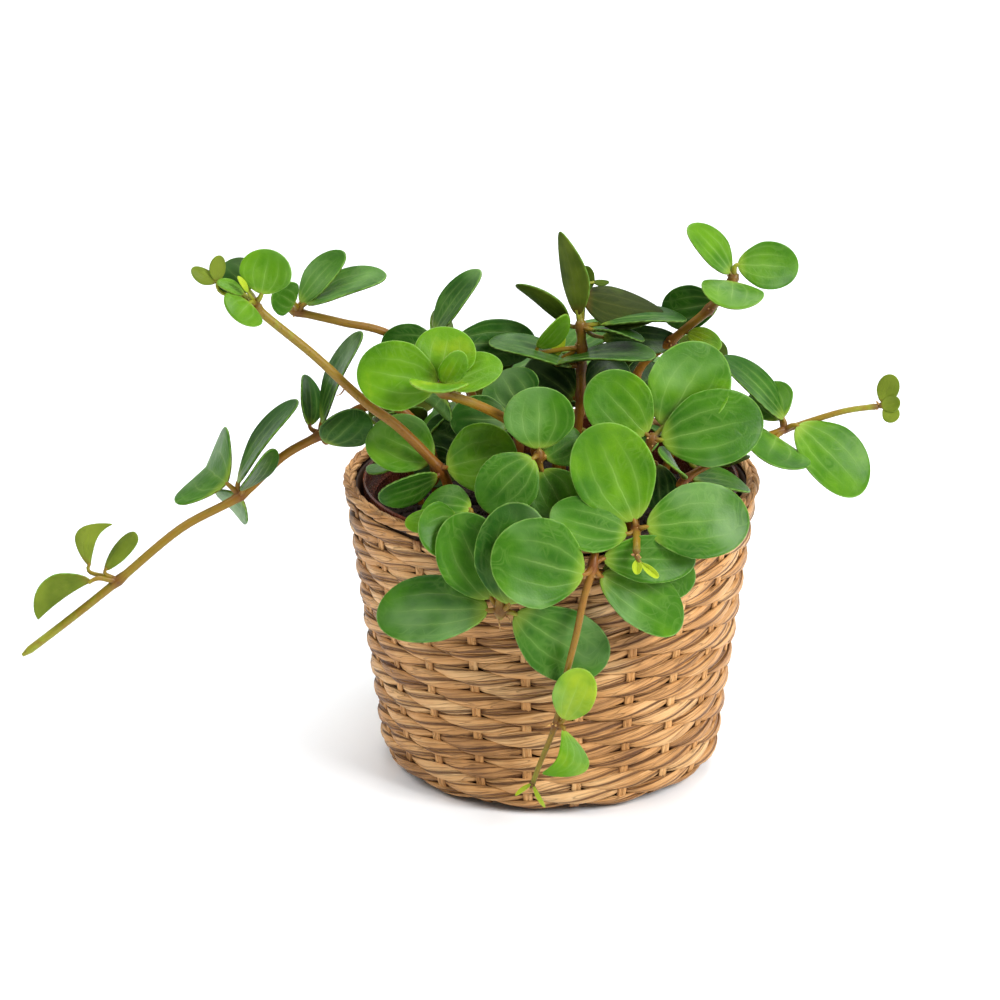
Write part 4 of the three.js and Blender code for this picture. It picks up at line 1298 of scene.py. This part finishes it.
# %% The leaf's finish
LEAF_GREENS = [
    (0.0, paint(160, 178, 36)), (0.25, paint(90, 136, 16)), (0.5, paint(58, 106, 16)),
    (0.75, paint(36, 80, 14)), (1.0, paint(20, 50, 10)),
]
UNDERSIDE = [(0.2, paint(118, 134, 40)), (0.6, paint(62, 82, 10)), (0.9, paint(38, 50, 4))]
VEIN_GREEN = paint(156, 190, 100)
EDGE_GREEN_AND_HIGHLIGHT = paint(146, 188, 90)
SHEEN_GREEN = paint(140, 176, 112)
BASE_GREEN = paint(150, 172, 56)
UNDER_VEIN = paint(124, 128, 56)
UNDER_BASE = paint(112, 70, 30)
MOTTLE = 0.7  # how far the noise moves a leaf's age up and down
VEIN_SHARE = 0.55  # how strongly each of these tints the blade
EDGE_SHARE = 0.35
SHEEN_SHARE = 0.32
BASE_SHARE = 0.5
UNDER_VEIN_SHARE = 0.15


def leaf_finish():
    finish = Finish(
        "waxy leaf", Specular_IOR_Level=0.1, Coat_Weight=0.04, Coat_Roughness=0.2,
        Subsurface_Weight=0.1, Subsurface_Radius=(0.5, 1.0, 0.2), Subsurface_Scale=1.2 * MM)
    own = finish.add("UVMap", uv_map="grain").outputs[0]
    where = finish.place()
    parts = finish.add("SeparateXYZ", {0: own})
    side = finish.scaled(parts.outputs[0], 2.0, -1.0)
    along = finish.scaled(parts.outputs[1], 2.0, -1.0)
    veins, side = leaf_veins(finish, own, side, along, where)

    age = finish.scaled(finish.mark("tone"), 0.06, finish.mark("age"))
    mottle = finish.scaled(finish.noise(where, 80.0, 3.0), MOTTLE, -MOTTLE / 2)
    age = finish.math("ADD", age, mottle)
    top = finish.ramp(age, LEAF_GREENS)
    top = finish.mix(finish.times(veins, VEIN_SHARE), top, finish.mix(0.5, top, VEIN_GREEN))
    # The paler edge: partly the blade's own margin, partly a painted highlight where the thick edge
    # catches the light.
    distance = finish.math("ADD", finish.times(side, side), finish.times(along, along))
    edge = finish.step(finish.math("SQRT", distance), 0.96, 0.995)
    top = finish.mix(finish.times(edge, EDGE_SHARE), top, EDGE_GREEN_AND_HIGHLIGHT)
    # Painted sheen: pale patches that stand for the soft reflection of the lights on the blade.
    sheen = finish.step(finish.noise(where, 42.0, 2.0), 0.5, 0.72)
    top = finish.mix(finish.times(sheen, SHEEN_SHARE), top, SHEEN_GREEN)
    base = finish.times(finish.rest(finish.step(along, -1.0, -0.66)), BASE_SHARE)
    top = finish.mix(base, top, BASE_GREEN)
    below = finish.ramp(age, UNDERSIDE)
    below = finish.mix(finish.times(veins, UNDER_VEIN_SHARE), below, UNDER_VEIN)
    below = finish.mix(base, below, UNDER_BASE)
    finish.set("Base Color", finish.mix(finish.mark("under"), top, below))

    roughness = finish.scaled(finish.noise(where, 420.0, 3.0), 0.16, 0.3)
    finish.set("Roughness", finish.scaled(finish.mark("under"), 0.3, roughness))
    pores = finish.times(finish.noise(where, 1500.0, 2.0), 0.4)
    dimples = finish.scaled(finish.noise(where, 260.0, 3.0), 2.0, pores)
    finish.bump(finish.scaled(veins, -0.8, dimples), 0.16 * MM, 0.8)
    return finish.material


# %% The stem's and the root buds' finish
STEM_COLOURS = [
    (0.0, paint(120, 68, 16)), (0.45, paint(134, 90, 16)), (0.85, paint(128, 106, 20)),
    (1.0, paint(130, 136, 30)),
]
SPECK = paint(72, 44, 22)
NODE_RED = paint(96, 42, 20)
BUD_COLOURS = [(0.35, paint(116, 62, 34)), (0.65, paint(196, 158, 84))]


def stem_finish():
    finish = Finish(
        "fleshy stem", Specular_IOR_Level=0.3,
        Subsurface_Weight=0.08, Subsurface_Radius=(1.0, 0.6, 0.2), Subsurface_Scale=1.0 * MM)
    where = finish.place()
    streaks = finish.noise(where, 260.0, 4.0, 0.6)
    specks = finish.step(finish.noise(where, 1300.0, 2.0), 0.62, 0.72)
    growth = finish.scaled(streaks, 0.5, finish.math("SUBTRACT", finish.mark("sprout"), 0.25))
    colour = finish.mix(finish.times(specks, 0.35), finish.ramp(growth, STEM_COLOURS), SPECK)
    joint = finish.step(finish.mark("joint"), 0.15, 0.95)
    finish.set("Base Color", finish.mix(finish.times(joint, 0.8), colour, NODE_RED))
    finish.set("Roughness", finish.scaled(streaks, 0.2, 0.34))
    finish.bump(finish.scaled(specks, 0.6, streaks), 0.25 * MM, 0.8)
    return finish.material


def root_finish():
    finish = Finish("root bud", Roughness=0.5)
    finish.set("Base Color", finish.ramp(finish.noise(finish.place(), 700.0, 2.0), BUD_COLOURS))
    return finish.material


leaf_skin = leaf_finish()
stem_skin = stem_finish()
root_skin = root_finish()
print("finishes:", leaf_skin.name, stem_skin.name, root_skin.name)

# %% [markdown]
# ## From lists to shoots
#
# Both kinds of list become the same thing: real points for the stem, and for each leaf the node it
# grows from, its base, its tip, its width and the way it faces. In a whorl, a leaf that would lie
# in the pot's wall or the basket is left out.

# %% Read the lists
ROOT_FOOT = SOIL_TOP - 11.7 * MM
ROOT_POINTS = 2  # a stem's own points come after the two in the soil
WHORL = 3
WHORL_SPREAD = math.radians(72)
WHORL_STALK = 5 * MM
WHORL_SCATTER = 0.3
LEAF_ROUNDNESS = 0.8
WHORL_AGE = 0.66
WHORL_YOUNGER = 0.06  # each leaf of a whorl is this much younger than the one before
POT_CLEARANCE = 2 * MM
DRAW_FACTOR = 48271
DRAW_RANGE = 2147483647


def root_points(root):
    right, front = (value * MM for value in root)
    return [Vector((right, -front, ROOT_FOOT)), Vector((right, -front, SOIL_TOP + SOIL_SWELL))]


def seen_shoot(entry):
    points = root_points(entry["root"]) + [seen(spot) for spot in entry["path"]]
    ages, shapes = entry.get("ages", {}), entry.get("shapes", {})
    listed = [(*leaf, ages.get(i, entry["age"])) for i, leaf in enumerate(entry["leaves"])]
    leaves = []
    for number, (grows, base, tip, width, roll, age) in enumerate(listed + entry.get("more", [])):
        base, tip = seen(base), seen(tip)
        leaves.append(dict(
            node=points[grows + ROOT_POINTS], grows=grows + ROOT_POINTS, base=base, tip=tip,
            width=width * MM, face=facing(base, tip, TOWARDS_EYE, roll), age=age,
            shape=shapes.get(number, {})))
    return points, leaves


def draws(seed):
    """Numbers from 0 to 1 that are the same on each run."""
    state = seed
    while True:
        state = state * DRAW_FACTOR % DRAW_RANGE
        yield state / DRAW_RANGE


def clear_of_pot(point):
    radius = math.hypot(point.x, point.y)
    in_soil = radius < POT_FLOOR_RADIUS and point.z > SOIL_TOP + POT_CLEARANCE
    over_rim = point.z > BASKET_HEIGHT + POT_CLEARANCE
    return over_rim or in_soil or radius > basket_radius(point.z) + POT_CLEARANCE


def whorl(grows, points, length, draw):
    node = points[grows]
    ahead = (points[grows] - points[grows - 1]).normalized()
    side = Vector((ahead.z, ahead.x, ahead.y)).cross(ahead).normalized()
    other = ahead.cross(side)
    start = next(draw) * 2 * math.pi
    leaves = []
    for number in range(WHORL):
        angle = start + (number + WHORL_SCATTER * next(draw)) / WHORL * 2 * math.pi
        long = length * (1 + WHORL_SCATTER * (next(draw) - 0.5))
        out = side * math.cos(angle) + other * math.sin(angle)
        along = out * math.sin(WHORL_SPREAD) + ahead * math.cos(WHORL_SPREAD)
        base = node + along * WHORL_STALK
        tip = base + along * long
        width = long * LEAF_ROUNDNESS
        face = facing(base, tip, ahead + UP, 0)
        across = along.cross(face) * (width / 2)
        middle = (base + tip) / 2
        if all(clear_of_pot(corner) for corner in (tip, middle + across, middle - across)):
            leaves.append(dict(node=node, grows=grows, base=base, tip=tip, width=width, face=face,
                               age=WHORL_AGE - WHORL_YOUNGER * number, shape={}))
    return leaves


def hidden_shoot(entry):
    rise = [Vector((right, -front, up)) * MM for right, front, up in entry["path"]]
    points = root_points(entry["root"]) + rise
    draw = draws(entry["seed"])
    leaves = []
    for at in entry["whorls"]:
        leaves += whorl(at + ROOT_POINTS, points, entry["leaf_length"] * MM, draw)
    return points, leaves


# %% [markdown]
# ## Growing a shoot
#
# A stem is a smooth curve through its points, a little thicker at each node. A stalk leaves the node
# and bends into the blade. Both could stay curves, but as meshes they are joined with the leaves of
# their shoot, and two marks go on their points for the colour: how near a node they are, and how
# far towards the tip.

# %% Grow the shoots
STEM_STEPS = 7
STEM_SIDES = 12
STUB_SIDES = 6
STALK_STEPS = 8
NODE_SWELL = 0.35
NODE_REACH = 1.9 * MM
NODE_BLUSH = 3.4 * MM
TIP_TAPER = 2.5 * MM
TIP_START = 0.45  # the stem's thickness at its tip, as a share of the rest
STALK_BEND = (0.55, 0.4)  # where the curve's handles are, from the node and from the blade
STALK_OVERLAP = 0.06  # how far it runs into the blade, as a share of the blade's length
STALK_THIN = 0.6 * MM
STALK_THICK = 0.95 * MM
STALK_GAIN = 0.02  # of the blade's width
STALK_TAPER = (1.2, 0.7)  # thickness at the node and at the blade
STUBS = 5
STUB_LENGTH = 1.1 * MM
STUB_RADIUS = 0.42 * MM
STUB_SEAT = 0.7  # where a bud starts, as a share of the stem's radius
STUB_RISE = 0.4  # how much of that radius it crosses before it is out of the stem
STUB_SHOULDER = 0.6
SHORTEST_STUB = 0.4
ROOT_RADIUS = 0.32 * MM
ROOT_TAPER = 0.6
LEAF_WAVE = 0.02


def smooth_path(points):
    """A smooth curve through the points, as a list of (place, share of the way)."""
    ends = [points[0] * 2 - points[1], *points, points[-1] * 2 - points[-2]]
    path = []
    for i in range(len(points) - 1):
        before, here, there, after = ends[i:i + 4]
        slope = there - before
        bend = before * 2 - here * 5 + there * 4 - after
        twist = here * 3 - before - there * 3 + after
        for step in range(STEM_STEPS):
            t = step / STEM_STEPS
            place = (here * 2 + slope * t + bend * t * t + twist * t**3) / 2
            path.append((place, (i + t) / (len(points) - 1)))
    path.append((points[-1], 1.0))
    return path


def stem_run(points, radii, nodes):
    run = []
    for place, share in smooth_path(points):
        radius = (radii[0] + (radii[1] - radii[0]) * share) * MM
        swell = sum(math.exp(-((place - node).length / NODE_REACH) ** 2) for node in nodes)
        ending = min(1, TIP_START + (place - points[-1]).length / TIP_TAPER)
        run.append((place, radius * (1 + NODE_SWELL * min(swell, 1)) * ending))
    return run


def stalk_run(leaf):
    node, base, tip = leaf["node"], leaf["base"], leaf["tip"]
    reach = base - node
    along = (tip - base).normalized()
    first = node + reach * STALK_BEND[0]
    second = base - along * reach.length * STALK_BEND[1]
    end = base + along * STALK_OVERLAP * (tip - base).length
    thick = min(STALK_THICK, STALK_THIN + STALK_GAIN * leaf["width"])
    run = []
    for step in range(STALK_STEPS + 1):
        t = step / STALK_STEPS
        left = 1 - t
        place = node * left**3 + first * 3 * t * left**2 + second * 3 * t * t * left + end * t**3
        run.append((place, thick * (STALK_TAPER[0] * left + STALK_TAPER[1] * t)))
    return run


def stub_runs(node, radius):
    """Short root buds that stand out round a node."""
    runs = []
    for _ in range(STUBS):
        out = Vector(chance.normal(size=3)).normalized()
        start = node + out * radius * STUB_SEAT
        reach = out * (radius * STUB_RISE + STUB_LENGTH * chance.uniform(SHORTEST_STUB, 1))
        shoulder, end = start + reach * STUB_SHOULDER, start + reach
        runs.append([(start, STUB_RADIUS), (shoulder, STUB_RADIUS), (end, STUB_RADIUS / 3)])
    return runs


def root_run(spots):
    points = [seen(spot) for spot in spots]
    return [(place, ROOT_RADIUS * (1 - ROOT_TAPER * share)) for place, share in smooth_path(points)]


def mark_points(obj, name, values):
    attribute = obj.data.attributes.new(name, "FLOAT", "POINT")
    attribute.data.foreach_set("value", values)


def stem_and_stalks(name, stem, leaves, nodes):
    wood = tubes(name, [stem, *(stalk_run(leaf) for leaf in leaves)], STEM_SIDES)
    places = np.array([vertex.co for vertex in wood.data.vertices])
    near = np.min([np.linalg.norm(places - np.array(node), axis=1) for node in nodes], axis=0)
    mark_points(wood, "joint", np.exp(-(near / NODE_BLUSH) ** 2))
    middles = np.array([place for place, _ in stem])
    closest = np.linalg.norm(places[:, None] - middles[None], axis=2).argmin(axis=1)
    mark_points(wood, "sprout", closest / (len(middles) - 1))
    wood.data.materials.append(stem_skin)
    return wood


def buds_and_roots(name, nodes, radius, thin_roots):
    runs = [run for node in nodes for run in stub_runs(node, radius)]
    roots = tubes(name, runs + [root_run(spots) for spots in thin_roots], STUB_SIDES)
    roots.data.materials.append(root_skin)
    return roots


def blades(name, leaves):
    copies, tones, ages, unders = [], [], [], []
    for leaf in leaves:
        wave = chance.uniform(-LEAF_WAVE, LEAF_WAVE)
        copies.append(bent_leaf(leaf, wave, **leaf["shape"]))
        tones.append(np.full(len(blade["points"]), chance.uniform(-1, 1)))
        ages.append(np.full(len(blade["points"]), leaf["age"]))
        unders.append((blade["points"][:, 2] < 0).astype(float))
    marks = {"tone": tones, "age": ages, "under": unders}
    green = lay_copies(name, blade, copies, [blade_uv] * len(copies), marks)
    green.data.materials.append(leaf_skin)
    return green


def grow(entry, points, leaves):
    name, radii = entry["name"], entry["radii"]
    nodes = list({leaf["grows"]: leaf["node"] for leaf in leaves}.values())
    stem = stem_run(points, radii, nodes)
    wood = stem_and_stalks(name + "_stem", stem, leaves, nodes)
    roots = buds_and_roots(name + "_roots", nodes, radii[1] * MM, entry.get("roots", []))
    green = blades(name + "_leafy", leaves)
    wood.select_set(True)
    roots.select_set(True)
    bpy.ops.object.join()
    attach(green, "root")
    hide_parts(name)
    print(green.name, len(leaves), "leaves,", len(green.data.polygons), "faces")


for entry in SEEN_SHOOTS:
    grow(entry, *seen_shoot(entry))
for entry in TRAILING_SHOOTS + SHORT_SHOOTS:
    grow(entry, *hidden_shoot(entry))

# %% [markdown]
# ## The studio
#
# The plant stands on a white floor that reaches far past the view, under three wide, soft lights.
# The strongest, at the upper right, brightens the right side of the basket, one on the left puts a
# soft sheen on the leaves, and one above and behind lights their tops. An even sky would be simpler,
# but it would wash the leaves out, so the surroundings are bright overhead and behind, a little
# brighter on the right than on the left, and dark at the front.

# %% The floor and the lights
FLOOR_SIZE = 12  # in metres, as the places and sizes of the lights are
SOFTBOXES = (  # place, size and power
    ((1.3, -1.1, 1.3), 0.9, 46), ((-1.3, -0.5, 1.5), 0.9, 14), ((0.2, 0.9, 1.7), 1.2, 20),
)

bpy.ops.mesh.primitive_plane_add(size=FLOOR_SIZE)
floor = bpy.context.active_object
floor.name = "floor"
floor_paint = Finish("white floor", Roughness=0.9, Base_Color=paint(247, 250, 253))
floor.data.materials.append(floor_paint.material)

for place, size, power in SOFTBOXES:
    turn = (VIEW_TARGET - Vector(place)).to_track_quat("-Z", "Y").to_euler()
    bpy.ops.object.light_add(type="AREA", location=place, rotation=turn)
    light = bpy.context.active_object
    light.data.size = size
    light.data.energy = power
print("lights:", len(SOFTBOXES))

# %% The surroundings
WORLD_FLOOR = 0.2  # the strength where nothing is added
WORLD_RISES = {  # from, to and gain, for each axis
    "Z": (0.3, 0.95, 0.6), "Y": (0.0, 0.9, 0.45), "X": (0.0, 1.0, 0.15),
}


def surroundings():
    """A white sky whose strength rises along each axis of WORLD_RISES."""
    world = bpy.data.worlds.new("studio")
    world.use_nodes = True
    tree = world.node_tree
    background = tree.nodes["Background"]
    background.inputs["Color"].default_value = (1, 1, 1, 1)
    way = tree.nodes.new("ShaderNodeSeparateXYZ")
    tree.links.new(tree.nodes.new("ShaderNodeTexCoord").outputs["Generated"], way.inputs[0])
    floor_level = tree.nodes.new("ShaderNodeValue")
    floor_level.outputs[0].default_value = WORLD_FLOOR
    strength = floor_level.outputs[0]
    for axis, (low, high, gain) in WORLD_RISES.items():
        rise = tree.nodes.new("ShaderNodeMapRange")
        rise.interpolation_type = "SMOOTHSTEP"
        rise.inputs["From Min"].default_value = low
        rise.inputs["From Max"].default_value = high
        rise.inputs["To Max"].default_value = gain
        tree.links.new(way.outputs[axis], rise.inputs["Value"])
        total = tree.nodes.new("ShaderNodeMath")
        tree.links.new(rise.outputs[0], total.inputs[0])
        tree.links.new(strength, total.inputs[1])
        strength = total.outputs[0]
    tree.links.new(strength, background.inputs["Strength"])
    return world


bpy.context.scene.world = surroundings()
bpy.context.scene.view_settings.view_transform = "Standard"
print("surroundings:", bpy.context.scene.world.name)
